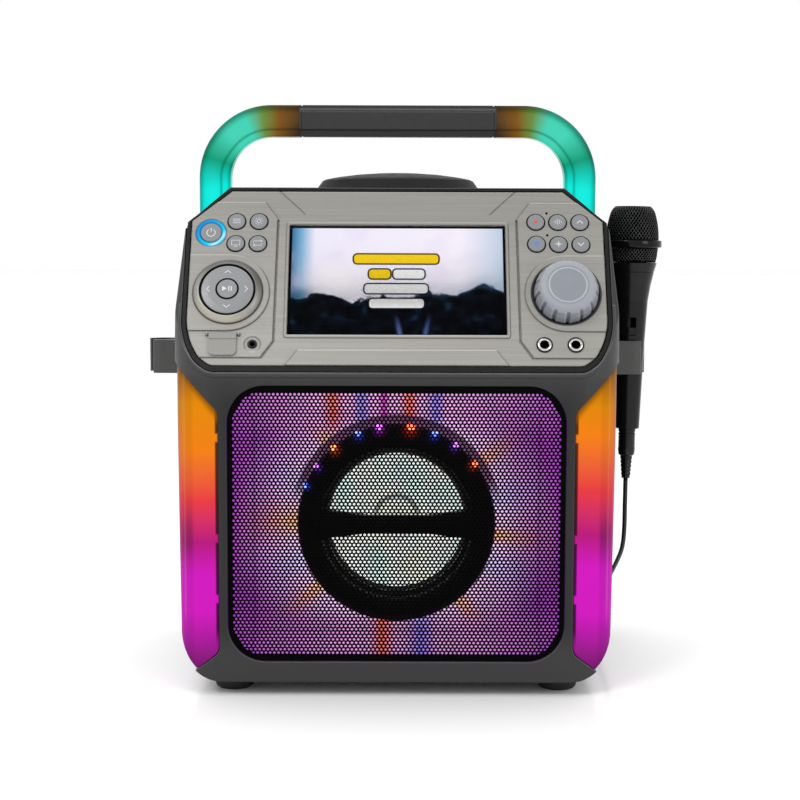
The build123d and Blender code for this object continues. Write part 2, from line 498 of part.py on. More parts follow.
leds = [turned_y([(59.0, BACK_Y - 1.6), (68.4, BACK_Y - 1.6), (68.4, BACK_Y), (60.4, BACK_Y), (59.0, BACK_Y)], 0, SPK_Z)]
for s in (-1, 1):
    st = box(*sorted((s * 130, s * 140)), -47.6, -46.0, 34, 216)
    for k in range(9):
        st += box(*sorted((s * 132.5, s * 137.5)), -49.2, -47.5, 40 + k * 21.0, 45 + k * 21.0)
    leds.append(st)
save("led_boards", Compound(children=[q for c in leds for q in c.solids()]))

bk = turned_y([(57.6, -72.0), (70.5, -72.0), (70.5, -70.2), (59.6, -70.2), (59.6, -60.4), (58.0, -58.4), (40.0, -41.0), (34.0, -38.6), (34.0, -40.4), (38.6, -42.6), (55.6, -60.0), (57.6, -62.0)], 0, SPK_Z)
for k in range(6):
    t = math.pi / 3 * k
    bk -= Pos(47.5 * math.cos(t), -48, SPK_Z + 47.5 * math.sin(t)) * Rot(90, 0, 0) * Cylinder(6.4, 30)
mg = turned_y([(13.9, -38.6), (38.0, -38.6), (38.0, -20.0), (0, -20.0), (0, -38.6), (11.4, -38.6), (11.4, -26.0), (13.9, -26.0)], 0, SPK_Z)
save("woofer_frame", Compound(children=[*bk.solids(), *mg.solids()]))
cn = turned_y([(49.6, -63.6), (49.6, -62.6), (44.0, -61.4), (13.6, -45.6), (12.9, -45.0), (12.9, -33.0), (12.3, -33.0), (12.3, -46.2),
               (9.0, -49.2), (0, -51.2), (0, -52.2), (9.6, -50.0), (13.8, -47.6), (43.6, -62.6)], 0, SPK_Z)
save("woofer_cone", cn)

# ------------------------------------------------------------------ side lamps
for s, nm in ((-1, "side_lamp_left"), (1, "side_lamp_right")):
    lens = (envelope(LAMP_IN) - envelope(LAMP_IN + 2.2)) & lamp_prism(s, 0.35, 0.35, -130, -46.0)
    save(nm, lens)

# ------------------------------------------------------------------ lit handle
for s, nm in ((-1, "handle_light_left"), (1, "handle_light_right")):
    path = handle_path(s, 329.7, GRIP_X)
    sec = Plane(origin=path @ 0, x_dir=(1, 0, 0), z_dir=path % 0) * RectangleRounded(TUBE, TUBE, 6.0)
    sec2 = Plane(origin=path @ 0, x_dir=(1, 0, 0), z_dir=path % 0) * RectangleRounded(TUBE - 5, TUBE - 5, 3.8)
    tube = sweep(sec, path=path) - sweep(sec2, path=path)
    save(nm, tube)
gp = Plane(origin=(-GRIP_X, HANDLE_Y, GRIP_ZC + 0.2), x_dir=(0, 1, 0), z_dir=(1, 0, 0))
gw = 11.4
gripf = make_face(Polyline((-gw, -gw + 5), (-gw + 5, -gw), (gw - 5, -gw), (gw, -gw + 5), (gw, gw - 5), (gw - 5, gw), (-gw + 5, gw), (-gw, gw - 5), close=True))
gripi = make_face(Polyline((-gw + 3, -gw + 7), (-gw + 7, -gw + 3), (gw - 7, -gw + 3), (gw - 3, -gw + 7), (gw - 3, gw - 7), (gw - 7, gw - 3), (-gw + 7, gw - 3), (-gw + 3, gw - 7), close=True))
grip = extrude(gp * gripf, 2 * GRIP_X) - extrude(gp * gripi, 2 * GRIP_X)
for s in (-1, 1):
    grip -= (box(*sorted((s * (GRIP_X - 1.4), s * (GRIP_X - 2.4))), HANDLE_Y - 20, HANDLE_Y + 20, GRIP_ZC - 20, GRIP_ZC + 20)
             - Pos(0, HANDLE_Y, GRIP_ZC + 0.2) * Box(300, 2 * gw - 1.4, 2 * gw - 1.4))
save("handle_grip", grip)

# ------------------------------------------------------------------ disc well
tray = turned([(0, 347.6), (63.0, 347.6), (63.0, 361.0), (66.8, 361.0), (66.8, 363.5), (63.4, 363.5), (63.4, 365.8), (61.2, 365.8), (61.2, 351.4), (60.4, 350.4), (0, 350.4)], 0, DISC_Y)
tray -= Pos(0, DISC_Y, 350) * Cylinder(17.0, 12)
tray -= box(10, 60.0, DISC_Y - 12.5, DISC_Y + 12.5, 345, 352)
save("disc_tray", tray)
CH_Z = 342.6
SLED_Z = 338.6
ch = box(-30, 80, DISC_Y - 32, DISC_Y + 32, CH_Z, CH_Z + 2.4)
ch -= box(12, 66.0, DISC_Y - 13, DISC_Y + 13, CH_Z - 2, CH_Z + 4)
ch -= Pos(0, DISC_Y, CH_Z) * Cylinder(2.4, 10)
for a, b in ((-26, 28), (-26, -28), (34, 28), (34, -28)):
    ch += Pos(a, DISC_Y + b, (CH_Z + 2.0 + 347.6) / 2) * Cylinder(3.0, 347.6 - CH_Z - 2.0)
ROD_Y = 18.5
for s in (-1, 1):
    for x in (8.0, 76.0):
        ch += box(x - 2.0, x + 2.0, DISC_Y + s * ROD_Y - 3, DISC_Y + s * ROD_Y + 3, SLED_Z - 3.2, CH_Z + 0.1)
        ch -= xcyl(1.5, x - 3, x + 3, DISC_Y + s * ROD_Y, SLED_Z)
rods = [xcyl(1.5, 6.0, 78.0, DISC_Y + s * ROD_Y, SLED_Z) for s in (-1, 1)]
SCREW_Y = 26.0
for x in (13.4, 76.0):
    ch += box(x - 1.6, x + 1.6, DISC_Y + SCREW_Y - 3, DISC_Y + SCREW_Y + 3, SLED_Z - 3.2, CH_Z + 0.1)
    ch -= xcyl(1.56, x - 3, x + 3, DISC_Y + SCREW_Y, SLED_Z)
save("mechanism_chassis", Compound(children=[*ch.solids(), *[q for r in rods for q in r.solids()]]))
sm = turned([(0, CH_Z - 9.0), (12.0, CH_Z - 9.0), (12.0, CH_Z), (2.2, CH_Z), (2.2, CH_Z + 2.0), (0.75, CH_Z + 2.0), (0.75, 355.0), (0, 355.0)], 0, DISC_Y)
fm = xcyl(4.2, -10.0, 8.6, DISC_Y + SCREW_Y, SLED_Z - 0.4) - xcyl(0.8, 6.4, 9.0, DISC_Y + SCREW_Y, SLED_Z)
save("drive_motors", Compound(children=[*sm.solids(), *fm.solids()]))
ls = xcyl(1.5, 9.0, 79.5, DISC_Y + SCREW_Y, SLED_Z) + xcyl(0.72, 6.8, 9.1, DISC_Y + SCREW_Y, SLED_Z)
save("lead_screw", ls)
SLED_X0, SLED_RUN = 23.5, 33.0
sd = box(SLED_X0 - 9.0, SLED_X0 + 9.0, DISC_Y - 22.5, DISC_Y + 22.5, SLED_Z - 2.8, SLED_Z + 2.8)
sd += box(SLED_X0 - 5.5, SLED_X0 + 5.5, DISC_Y - 8, DISC_Y + 8, SLED_Z, CH_Z + 3.6)
sd += Pos(SLED_X0, DISC_Y, CH_Z + 4.6) * Cylinder(3.4, 6.0)
for s in (-1, 1):
    sd -= xcyl(1.55, SLED_X0 - 12, SLED_X0 + 12, DISC_Y + s * ROD_Y, SLED_Z)
sd += box(SLED_X0 - 2.5, SLED_X0 + 2.5, DISC_Y + 22.0, DISC_Y + 29.0, SLED_Z - 2.6, SLED_Z + 2.6)
sd -= xcyl(1.56, SLED_X0 - 12, SLED_X0 + 12, DISC_Y + SCREW_Y, SLED_Z)
save("pickup_sled", sd)
hub = turned([(0.8, 346.2), (3.4, 346.2), (3.4, 350.6), (14.6, 351.0), (14.6, 352.4), (7.3, 352.4), (7.3, 354.6), (5.6, 356.0), (0.8, 356.0)], 0, DISC_Y)
save("turntable_hub", hub)

# lid over the disc well
dome = [(0, 380.6), (18, 380.1), (34, 378.9), (48, 377.0), (56.5, 375.4), (59.4, 374.2), (64.0, 367.9), (64.0, 366.7),
        (61.6, 366.7), (61.4, 368.2), (58.2, 371.8), (54.8, 372.9), (46, 374.6), (33, 376.4), (18, 377.6), (0, 378.1)]
lid = turned(dome, 0, DISC_Y)
for s in (-1, 1):
    x0, x1 = sorted((s * 38.9, s * 46.0))
    arm = box(x0, x1, 108.0, LID_AX_Y, LID_AX_Z - 2.0, LID_AX_Z + 2.4) + xcyl(3.0, x0, x1, LID_AX_Y, LID_AX_Z)
    inner = turned([(0, 360), (62.6, 360), (62.6, 368.0), (0, 368.0)], 0, DISC_Y)
    lid += arm - turned([(0, 360), (61.5, 360), (61.5, 368.2), (58.2, 371.8), (54.8, 372.9), (0, 376)], 0, DISC_Y)
    lid -= xcyl(1.56, s * 42.45 - 5, s * 42.45 + 5, LID_AX_Y, LID_AX_Z)
save("disc_lid", lid)

# ------------------------------------------------------------------ microphone clips
def clip(s):
    c = (180.9, MIC_Y)
    a0, a1 = -64.0, 34.0
    body = Pos((160 + c[0]) / 2, c[1]) * Rectangle(c[0] - 160, 2 * CLIP_R_OUT) + Pos(*c) * Circle(CLIP_R_OUT)
    body -= Pos(*c) * Circle(CLIP_R_IN)
    R = 40
    w = [c] + [(c[0] + R * math.cos(math.radians(t)), c[1] + R * math.sin(math.radians(t))) for t in (a0, -20, 10, a1)]
    body -= make_face(Polyline(*w, close=True))
    b = extrude(body, CLIP_Z1 - CLIP_Z0)
    b = Pos(0, 0, CLIP_Z0) * b
    for t in (a0, a1):
        b += Pos(c[0] + 13.9 * math.cos(math.radians(t)), c[1] + 13.9 * math.sin(math.radians(t)), (CLIP_Z0 + CLIP_Z1) / 2) * Cylinder(1.5, CLIP_Z1 - CLIP_Z0)
    if s < 0:
        b = b.mirror(Plane.YZ)
    return b


save("mic_clip_left", clip(-1))
save("mic_clip_right", clip(1))

# ------------------------------------------------------------------ microphone
M0 = (180.9, MIC_Y, 238.1)
LEAN = 0.65


def mic_place(shape):
    """A piece drawn about the vertical through the clip is leaned outward."""
    return shape.moved(Location((M0[0], M0[1], M0[2])) * Location((0, 0, 0), (0, LEAN, 0)) * Location((0, 0, -M0[2])))


def lathe(pts):
    f = make_face(Polyline(*[(p[0], 0, p[1]) for p in pts], close=True))
    return revolve(f, Axis.Z, 360)


mb = lathe([(0, 176.0 + 6), (9.0, 182.0), (9.35, 182.6), (10.7, 223.8), (11.6, 249.6), (13.3, 281.5), (15.0, 293.0), (16.9, 301.6), (17.4, 303.6), (17.1, 303.8), (17.1, 304.3), (17.6, 304.5), (19.4, 311.1),
            (17.4, 311.1), (17.0, 306.0), (15.4, 302.0), (11.0, 281.0), (9.2, 249.0), (8.2, 200.0), (8.2, 196.0), (0, 196.0)])
mb -= Pos(0, -10.0, 262.0) * Box(6.4, 8.0, 14.0)
save("mic_body", mic_place(mb))
mh = lathe([(18.5, 311.1), (19.5, 316.0), (20.2, 323.0), (22.4, 323.2), (22.7, 323.7), (22.7, 327.7), (22.4, 328.2), (20.5, 328.4), (20.1, 335.5), (19.3, 341.5), (18.2, 346.2), (17.2, 349.7), (15.9, 352.3), (14.6, 353.9), (13.2, 354.6), (0, 354.9),
            (0, 353.2), (12.6, 353.0), (14.2, 351.6), (16.2, 347.2), (18.0, 339.8), (18.7, 329.0), (18.4, 319.2), (17.4, 311.1)])
save("mic_head", mic_place(mh))
ms = Pos(0, -11.6, 258.4) * Box(5.6, 3.6, 5.6) + Pos(0, -13.2, 258.4) * Box(4.2, 1.6, 2.0)
save("mic_switch", mic_place(ms))
mc = lathe([(0, 182.0), (6.6, 182.0), (6.6, 164.0), (6.0, 161.0), (4.6, 160.4), (4.7, 158.4), (3.4, 142.4), (0, 142.4)])
save("mic_connector", mic_place(mc))
p_exit = mic_place(Pos(0, 0, 142.4) * Sphere(0.1)).center()
print("mic_cord exit", round(p_exit.X, 2), round(p_exit.Y, 2), round(p_exit.Z, 2))

# cord: hangs beside the cabinet, sweeps back behind it and runs into its coil
COIL_X, COIL_Y, COIL_RO, COIL_RI, COIL_H = 118.0, 182.0, 34.0, 14.5, 15.0
LN = math.radians(LEAN)
ROUTE = [(p_exit.X, p_exit.Y, p_exit.Z), (p_exit.X - 20 * math.sin(LN), p_exit.Y, p_exit.Z - 20 * math.cos(LN)), (180.0, 33.0, 101.5), (180.6, 46.0, 84.0), (179.0, 64.0, 70.0),
         (176.2, 84.0, 55.0), (172.8, 104.0, 40.0), (169.4, 124.5, 27.0), (165.0, 145.0, 17.0), (157.0, 163.5, 9.8), (144.5, 179.0, 6.3), (134.0, 187.0, 7.4)]


def cord_path(pts, scale=0.45):
    v = [Vector(*p) for p in pts]
    rad = []
    for a, b, c in zip(v, v[1:], v[2:]):
        turn = (b - a).get_angle(c - b)
        rad.append(scale * min((b - a).length, (c - b).length) / math.tan(math.radians(turn) / 2))
    print("cord runs", [round((b - a).length, 1) for a, b in zip(v, v[1:])])
    print("cord radii", [round(r) for r in rad], "least in diameters", round(min(rad) / CORD_D, 1))
    return FilletPolyline(*v, radius=rad)


cp = cord_path(ROUTE)
sec = Plane(origin=cp @ 0, z_dir=cp % 0) * Circle(CORD_D / 2)
cord = sweep(sec, path=cp)
coil = turned([(COIL_RI, FLOOR), (COIL_RO, FLOOR), (COIL_RO, FLOOR + COIL_H), (COIL_RI, FLOOR + COIL_H)], COIL_X, COIL_Y)
coil = coil.solids()[0].fillet(4.0, coil.edges())
print("cord length", round(cp.length, 1), "volume ratio", round(cord.volume / (math.pi * CORD_D ** 2 / 4 * cp.length), 4))
cord = cord - coil
save("mic_cord", cord)
save("cord_coil", coil)
PLUG_Y, PLUG_Z = 210.4, FLOOR + 5.6
pg = lambda r, x0, x1: xcyl(r, x0, x1, PLUG_Y, PLUG_Z)
plug = pg(3.175, 10.6, 41.0) + Pos(9.9, PLUG_Y, PLUG_Z) * Rot(0, -90, 0) * Cone(3.1, 1.3, 3.0) + pg(5.5, 41.0, 70.0) + Pos(76.5, PLUG_Y, PLUG_Z) * Rot(0, 90, 0) * Cone(4.2, 2.6, 13.0)
plug -= (pg(3.6, 15.0, 15.8) - pg(2.7, 14.0, 17.0)) + (pg(3.6, 21.0, 21.8) - pg(2.7, 20.0, 23.0))
plug = plug - coil
save("mic_plug", plug)

# ------------------------------------------------------------------ electronics and feet
jp = box(-58, 58, Y_REAR - WALL - 2.0, Y_REAR - WALL, 36, 92)
rca = []
for k, x in enumerate((-38.0, -22.0, -6.0)):
    jp -= ycyl(5.2, 120, 140, x, 63)
    rca += (ycyl(5.2, Y_REAR - 14.0, Y_REAR - 3.6, x, 63) + ycyl(4.15, Y_REAR - 3.7, Y_REAR + 4.2, x, 63) - ycyl(1.6, Y_REAR - 8, Y_REAR + 6, x, 63)).solids()
jp -= rrect_xz(28, 63, 19.0, 10.0, 4.6, 120, 140)
inlet = rrect_xz(28, 63, 19.0, 10.0, 4.6, Y_REAR - 20.0, Y_REAR - 3.0) - rrect_xz(28, 63, 16.0, 7.2, 3.5, Y_REAR - 17.0, Y_REAR)
for x in (24.2, 31.8):
    inlet += ycyl(1.1, Y_REAR - 17.2, Y_REAR - 5.0, x, 63)
save("rear_jack_plate", Compound(children=[*jp.solids(), *rca, *inlet.solids()]))
mbd = box(-74, 74, 103.4, 105.0, 24, 122)
for a, b in ((-68, 29), (68, 29), (-68, 116), (68, 116)):
    mbd += ycyl(3.2, 105.0, Y_REAR - WALL, a, b)
for x0, x1, z0, z1, h in ((-50, -30, 92, 112, 3), (-10, 14, 84, 108, 2.4), (30, 62, 80, 112, 12), (-64, -40, 40, 70, 9), (-20, -4, 36, 60, 6), (20, 52, 34, 44, 8)):
    mbd += box(x0, x1, 103.4 - h, 103.5, z0, z1)
save("main_board", mbd)
save("battery_pack", box(-64, 64, 30, 72, Z_BOT + WALL, Z_BOT + WALL + 40) - box(-70, 70, 50.6, 51.4, Z_BOT + WALL + 38, 90))
ft = []
for x in (-118.0, 118.0):
    for y in (-71.0, 104.0):
        f = turned([(0, FLOOR), (12.0, FLOOR), (13.6, FLOOR + 1.6), (14.2, FLOOR + 4.4), (14.2, 20.0), (0, 20.0)], x, y) - envelope(0)
        ft += [q for q in f.solids() if q.center().Z < 16]
save("feet", Compound(children=ft))
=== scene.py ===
import math
import bmesh
import bpy
import numpy as np
from mathutils import Matrix, Vector


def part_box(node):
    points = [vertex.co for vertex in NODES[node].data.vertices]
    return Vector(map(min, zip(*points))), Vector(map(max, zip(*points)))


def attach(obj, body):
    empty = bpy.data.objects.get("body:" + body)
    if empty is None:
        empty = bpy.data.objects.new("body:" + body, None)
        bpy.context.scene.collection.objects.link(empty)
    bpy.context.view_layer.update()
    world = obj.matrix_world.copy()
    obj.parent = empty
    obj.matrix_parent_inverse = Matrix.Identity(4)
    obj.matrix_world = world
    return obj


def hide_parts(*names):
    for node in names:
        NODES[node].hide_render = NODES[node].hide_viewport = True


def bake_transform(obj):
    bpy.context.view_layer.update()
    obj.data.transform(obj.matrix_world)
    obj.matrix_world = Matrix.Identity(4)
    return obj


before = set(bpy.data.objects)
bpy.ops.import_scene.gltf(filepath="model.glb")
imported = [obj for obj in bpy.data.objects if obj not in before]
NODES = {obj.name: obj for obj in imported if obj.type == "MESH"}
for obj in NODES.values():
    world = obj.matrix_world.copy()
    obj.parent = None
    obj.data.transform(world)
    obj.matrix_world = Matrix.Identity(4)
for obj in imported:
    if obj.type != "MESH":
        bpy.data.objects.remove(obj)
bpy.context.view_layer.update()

# ---------------------------------------------------------------- frame
OX, OY, OZ = 5.35, 17.75, 2.8
TILT = math.radians(27.0)
SN, CS = math.sin(TILT), math.cos(TILT)
PY, PZ = -95.5, 243.0


def V(x, y, z):
    """A point given in mm about the cabinet's middle plane."""
    return Vector(((x - OX) / 1000, (y - OY) / 1000, (z - OZ) / 1000))


def P(u, v, w=0.0):
    """A point on the control panel: right, up the slope, outward."""
    return V(u, PY + v * SN - w * CS, PZ + v * CS + w * SN)


# ---------------------------------------------------------------- materials
class M:
    """One material with short names for its nodes."""

    def __init__(self, name):
        self.m = bpy.data.materials.new(name)
        self.m.use_nodes = True
        self.t = self.m.node_tree
        self.t.nodes.clear()
        self.out = self.t.nodes.new("ShaderNodeOutputMaterial")
        self.b = self.t.nodes.new("ShaderNodeBsdfPrincipled")
        self.t.links.new(self.b.outputs[0], self.out.inputs[0])
        self._obj = None

    def n(self, kind, **kw):
        x = self.t.nodes.new("ShaderNode" + kind)
        for k, v in kw.items():
            setattr(x, k, v)
        return x

    def put(self, sock, val):
        if isinstance(val, bpy.types.NodeSocket):
            self.t.links.new(val, sock)
        elif isinstance(val, (tuple, list)) and len(val) == 3 and sock.type == "RGBA":
            sock.default_value = (*val, 1)
        else:
            sock.default_value = val

    def s(self, **kw):
        """Sets the shader's own sockets; underscores stand for spaces."""
        for k, v in kw.items():
            self.put(self.b.inputs[k.replace("_", " ")], v)
        return self

    def obj(self):
        if self._obj is None:
            self._obj = self.n("TexCoord").outputs["Object"]
        return self._obj

    def map(self, scale=(1, 1, 1), loc=(0, 0, 0), rot=(0, 0, 0), vec=None):
        x = self.n("Mapping")
        self.put(x.inputs[0], vec or self.obj())
        x.inputs["Location"].default_value = loc
        x.inputs["Rotation"].default_value = rot
        x.inputs["Scale"].default_value = scale
        return x.outputs[0]

    def noise(self, scale, detail=3.0, rough=0.55, vec=None, dist=0.0):
        x = self.n("TexNoise")
        self.put(x.inputs["Vector"], vec or self.obj())
        x.inputs["Scale"].default_value = scale
        x.inputs["Detail"].default_value = detail
        x.inputs["Roughness"].default_value = rough
        x.inputs["Distortion"].default_value = dist
        return x.outputs[0]

    def math(self, op, a, b=0.0, c=0.0, clamp=False):
        x = self.n("Math", operation=op, use_clamp=clamp)
        for i, v in enumerate((a, b, c)):
            if i < len(x.inputs):
                self.put(x.inputs[i], v)
        return x.outputs[0]

    def vmath(self, op, a, b=(0, 0, 0), out=0):
        x = self.n("VectorMath", operation=op)
        self.put(x.inputs[0], a)
        self.put(x.inputs[1], b)
        return x.outputs[out]

    def dot(self, a, b):
        return self.vmath("DOT_PRODUCT", a, b, 1)

    def xyz(self, vec=None):
        x = self.n("SeparateXYZ")
        self.put(x.inputs[0], vec or self.obj())
        return x.outputs

    def ramp(self, fac, stops, mode="LINEAR"):
        x = self.n("ValToRGB")
        x.color_ramp.interpolation = mode
        e = x.color_ramp.elements
        while len(e) < len(stops):
            e.new(0.5)
        for el, (p, c) in zip(e, stops):
            el.position = p
            el.color = (*c, 1) if len(c) == 3 else c
        self.put(x.inputs[0], fac)
        return x.outputs[0]

    def mrange(self, v, a, b, c=0.0, d=1.0, smooth=True):
        x = self.n("MapRange", interpolation_type="SMOOTHSTEP" if smooth else "LINEAR")
        x.inputs["From Min"].default_value = a
        x.inputs["From Max"].default_value = b
        x.inputs["To Min"].default_value = c
        x.inputs["To Max"].default_value = d
        self.put(x.inputs[0], v)
        return x.outputs[0]

    def mix(self, f, a, b, kind="MIX"):
        x = self.n("Mix", data_type="RGBA", blend_type=kind)
        self.put(x.inputs[0], f)
        self.put(x.inputs[6], a)
        self.put(x.inputs[7], b)
        return x.outputs[2]

    def bump(self, h, strength=0.3, dist=0.0005, normal=None):
        x = self.n("Bump")
        x.inputs["Strength"].default_value = strength
        x.inputs["Distance"].default_value = dist
        self.put(x.inputs["Height"], h)
        if normal:
            self.put(x.inputs["Normal"], normal)
        return x.outputs[0]

    def bevel(self, r=0.0004):
        x = self.n("Bevel")
        x.samples = 4
        x.inputs["Radius"].default_value = r
        return x.outputs[0]


def lin(r, g, b):
    """An 8-bit screen colour as linear light."""
    return tuple((c / 255 / 12.92) if c / 255 <= 0.04045 else ((c / 255 + 0.055) / 1.055) ** 2.4 for c in (r, g, b))


def plastic(name, col, rough=0.5, grain=0.25, scale=1400.0, var=0.12, bevel=0.0005, coat=0.0, spec=0.5, gd=0.00012):
    """Moulded plastic: fine spark-eroded grain, slight mottling, softened edges."""
    m = M(name)
    big = m.noise(9.0, 3)
    mot = m.noise(160.0, 4)
    f = m.math("MULTIPLY_ADD", mot, 0.45, m.math("MULTIPLY", big, 0.55))
    dark = tuple(c * (1 - var) for c in col)
    lite = tuple(min(1, c * (1 + var)) for c in col)
    m.s(Base_Color=m.ramp(f, [(0.3, dark), (0.7, lite)]))
    m.s(Roughness=m.mrange(mot, 0.25, 0.75, max(0.02, rough - 0.06), min(1, rough + 0.06)))
    h = m.noise(scale, 2, 0.7)
    nrm = m.bump(h, grain, gd, m.bevel(bevel) if bevel else None)
    m.s(Normal=nrm, Specular_IOR_Level=spec)
    if coat:
        m.s(Coat_Weight=coat, Coat_Roughness=0.12)
    return m


def metal(name, col, rough=0.3, bevel=0.0003, brushed=None):
    m = M(name)
    vec = m.map(scale=brushed) if brushed else m.obj()
    n1 = m.noise(60.0 if brushed else 300.0, 4, 0.6, vec)
    m.s(Base_Color=m.ramp(n1, [(0.25, tuple(c * 0.85 for c in col)), (0.75, tuple(min(1, c * 1.1) for c in col))]))
    m.s(Metallic=1.0, Roughness=m.mrange(n1, 0.2, 0.8, rough * 0.75, rough * 1.3))
    m.s(Normal=m.bump(n1, 0.15, 0.0001, m.bevel(bevel) if bevel else None))
    return m


def give(obj, m):
    """Puts a material on every slot of an object."""
    m = m.m if isinstance(m, M) else m
    if not obj.material_slots:
        obj.data.materials.append(m)
    for s in obj.material_slots:
        s.material = m


# ---------------------------------------------------------------- mesh helpers
def mesh(name, verts, faces, smooth=True, autosmooth=None):
    me = bpy.data.meshes.new(name)
    me.from_pydata([tuple(v) for v in verts], [], faces)
    me.validate(clean_customdata=False)
    me.update()
    o = bpy.data.objects.new(name, me)
    bpy.context.scene.collection.objects.link(o)
    if smooth:
        me.polygons.foreach_set("use_smooth", [True] * len(me.polygons))
    if autosmooth is not None:
        me.set_sharp_from_angle(angle=math.radians(autosmooth))
    return o


def recalc(o):
    bm = bmesh.new()
    bm.from_mesh(o.data)
    bmesh.ops.remove_doubles(bm, verts=bm.verts, dist=1e-7)
    bmesh.ops.recalc_face_normals(bm, faces=bm.faces)
    bm.to_mesh(o.data)
    bm.free()
    return o


def lathe(name, prof, origin, axis, xdir, seg=96, closed=True, autosmooth=35, wave=None):
    """Turns (radius mm, height mm) round an axis through origin (metres). wave(r, h, t) may change the radius."""
    axis = Vector(axis).normalized()
    xdir = Vector(xdir).normalized()
    ydir = axis.cross(xdir)
    vs, fs = [], []
    idx = []
    for r, h in prof:
        if r < 1e-6:
            vs.append(origin + axis * (h / 1000))
            idx.append([len(vs) - 1] * seg)
        else:
            row = []
            for k in range(seg):
                t = 2 * math.pi * k / seg
                rr = wave(r, h, t) if wave else r
                vs.append(origin + axis * (h / 1000) + (xdir * math.cos(t) + ydir * math.sin(t)) * (rr / 1000))
                row.append(len(vs) - 1)
            idx.append(row)
    pairs = list(zip(idx, idx[1:]))
    if closed:
        pairs.append((idx[-1], idx[0]))
    for a, b in pairs:
        for k in range(seg):
            k2 = (k + 1) % seg
            q = []
            for i in (a[k], a[k2], b[k2], b[k]):
                if i not in q:
                    q.append(i)
            if len(q) > 2:
                fs.append(q)
    o = mesh(name, vs, fs)
    recalc(o)
    if autosmooth is not None:
        o.data.set_sharp_from_angle(angle=math.radians(autosmooth))
    return o


def smooth_prof(pts, n=6):
    """Catmull-Rom through the points of a profile."""
    out = []
    for i in range(len(pts) - 1):
        p0 = pts[max(i - 1, 0)]
        p1, p2 = pts[i], pts[i + 1]
        p3 = pts[min(i + 2, len(pts) - 1)]
        for k in range(n):
            t = k / n
            out.append(tuple(0.5 * (2 * b + (c - a) * t + (2 * a - 5 * b + 4 * c - d) * t * t + (3 * b - a - 3 * c + d) * t ** 3)
                             for a, b, c, d in zip(p0, p1, p2, p3)))
    out.append(pts[-1])
    return out


def prism(name, pts, place, w0, w1, bevel=0.0, seg=2):
    """A polygon in a plane made thick; place(u, v, w) gives the point."""
    n = len(pts)
    vs = [place(u, v, w0) for u, v in pts] + [place(u, v, w1) for u, v in pts]
    fs = [list(range(n))[::-1], [n + i for i in range(n)]]
    fs += [[i, (i + 1) % n, n + (i + 1) % n, n + i] for i in range(n)]
    o = mesh(name, vs, fs, smooth=False)
    recalc(o)
    if bevel:
        b = o.modifiers.new("edge", "BEVEL")
        b.width = bevel / 1000
        b.segments = seg
        b.limit_method = "ANGLE"
        b.angle_limit = math.radians(40)
    return o


def apply_mods(o):
    dg = bpy.context.evaluated_depsgraph_get()
    me = bpy.data.meshes.new_from_object(o.evaluated_get(dg))
    o.modifiers.clear()
    o.data = me
    return o


def join(name, objs):
    """One object from several, modifiers applied, each face's material kept."""
    mats, vs, fs, mi, sm = [], [], [], [], []
    for o in objs:
        if o.modifiers:
            apply_mods(o)
        me = o.data
        base = len(vs)
        loc = []
        for s in me.materials:
            if s not in mats:
                mats.append(s)
            loc.append(mats.index(s))
        vs += [tuple(v.co) for v in me.vertices]
        for p in me.polygons:
            fs.append([base + i for i in p.vertices])
            mi.append(loc[p.material_index] if loc else 0)
            sm.append(p.use_smooth)
        bpy.data.objects.remove(o)
    me = bpy.data.meshes.new(name)
    me.from_pydata(vs, [], fs)
    for m in mats:
        me.materials.append(m)
    me.polygons.foreach_set("material_index", mi)
    me.polygons.foreach_set("use_smooth", sm)
    me.update()
    me.set_sharp_from_angle(angle=math.radians(38))
    o = bpy.data.objects.new(name, me)
    bpy.context.scene.collection.objects.link(o)
    return o


def arc(cx, cy, r, a0, a1, n):
    return [(cx + r * math.cos(math.radians(a0 + (a1 - a0) * k / n)), cy + r * math.sin(math.radians(a0 + (a1 - a0) * k / n))) for k in range(n + 1)]


def rrect(cx, cy, w, h, r, n=6):
    out = []
    for sx, sy, a in ((1, 1, 0), (-1, 1, 90), (-1, -1, 180), (1, -1, 270)):
        out += arc(cx + sx * (w / 2 - r), cy + sy * (h / 2 - r), r, a, a + 90, n)
    return out


def stroke(pts, width, closed=False):
    """A line of some width as a polygon, for icons."""
    left, right = [], []
    n = len(pts)
    for i, p in enumerate(pts):
        a = pts[i - 1] if (i or closed) else p
        b = pts[(i + 1) % n] if (i < n - 1 or closed) else p
        d1 = (p[0] - a[0], p[1] - a[1])
        d2 = (b[0] - p[0], b[1] - p[1])
        l1, l2 = math.hypot(*d1), math.hypot(*d2)
        n1 = (-d1[1] / l1, d1[0] / l1) if l1 else None
        n2 = (-d2[1] / l2, d2[0] / l2) if l2 else None
        if n1 and n2:
            m = (n1[0] + n2[0], n1[1] + n2[1])
            q = (m[0] * n1[0] + m[1] * n1[1]) or 1
            k = min(1 / q, 1.6)
            m = (m[0] * k, m[1] * k)
        else:
            m = n1 or n2
        left.append((p[0] + m[0] * width / 2, p[1] + m[1] * width / 2))
        right.append((p[0] - m[0] * width / 2, p[1] - m[1] * width / 2))
    return left, right


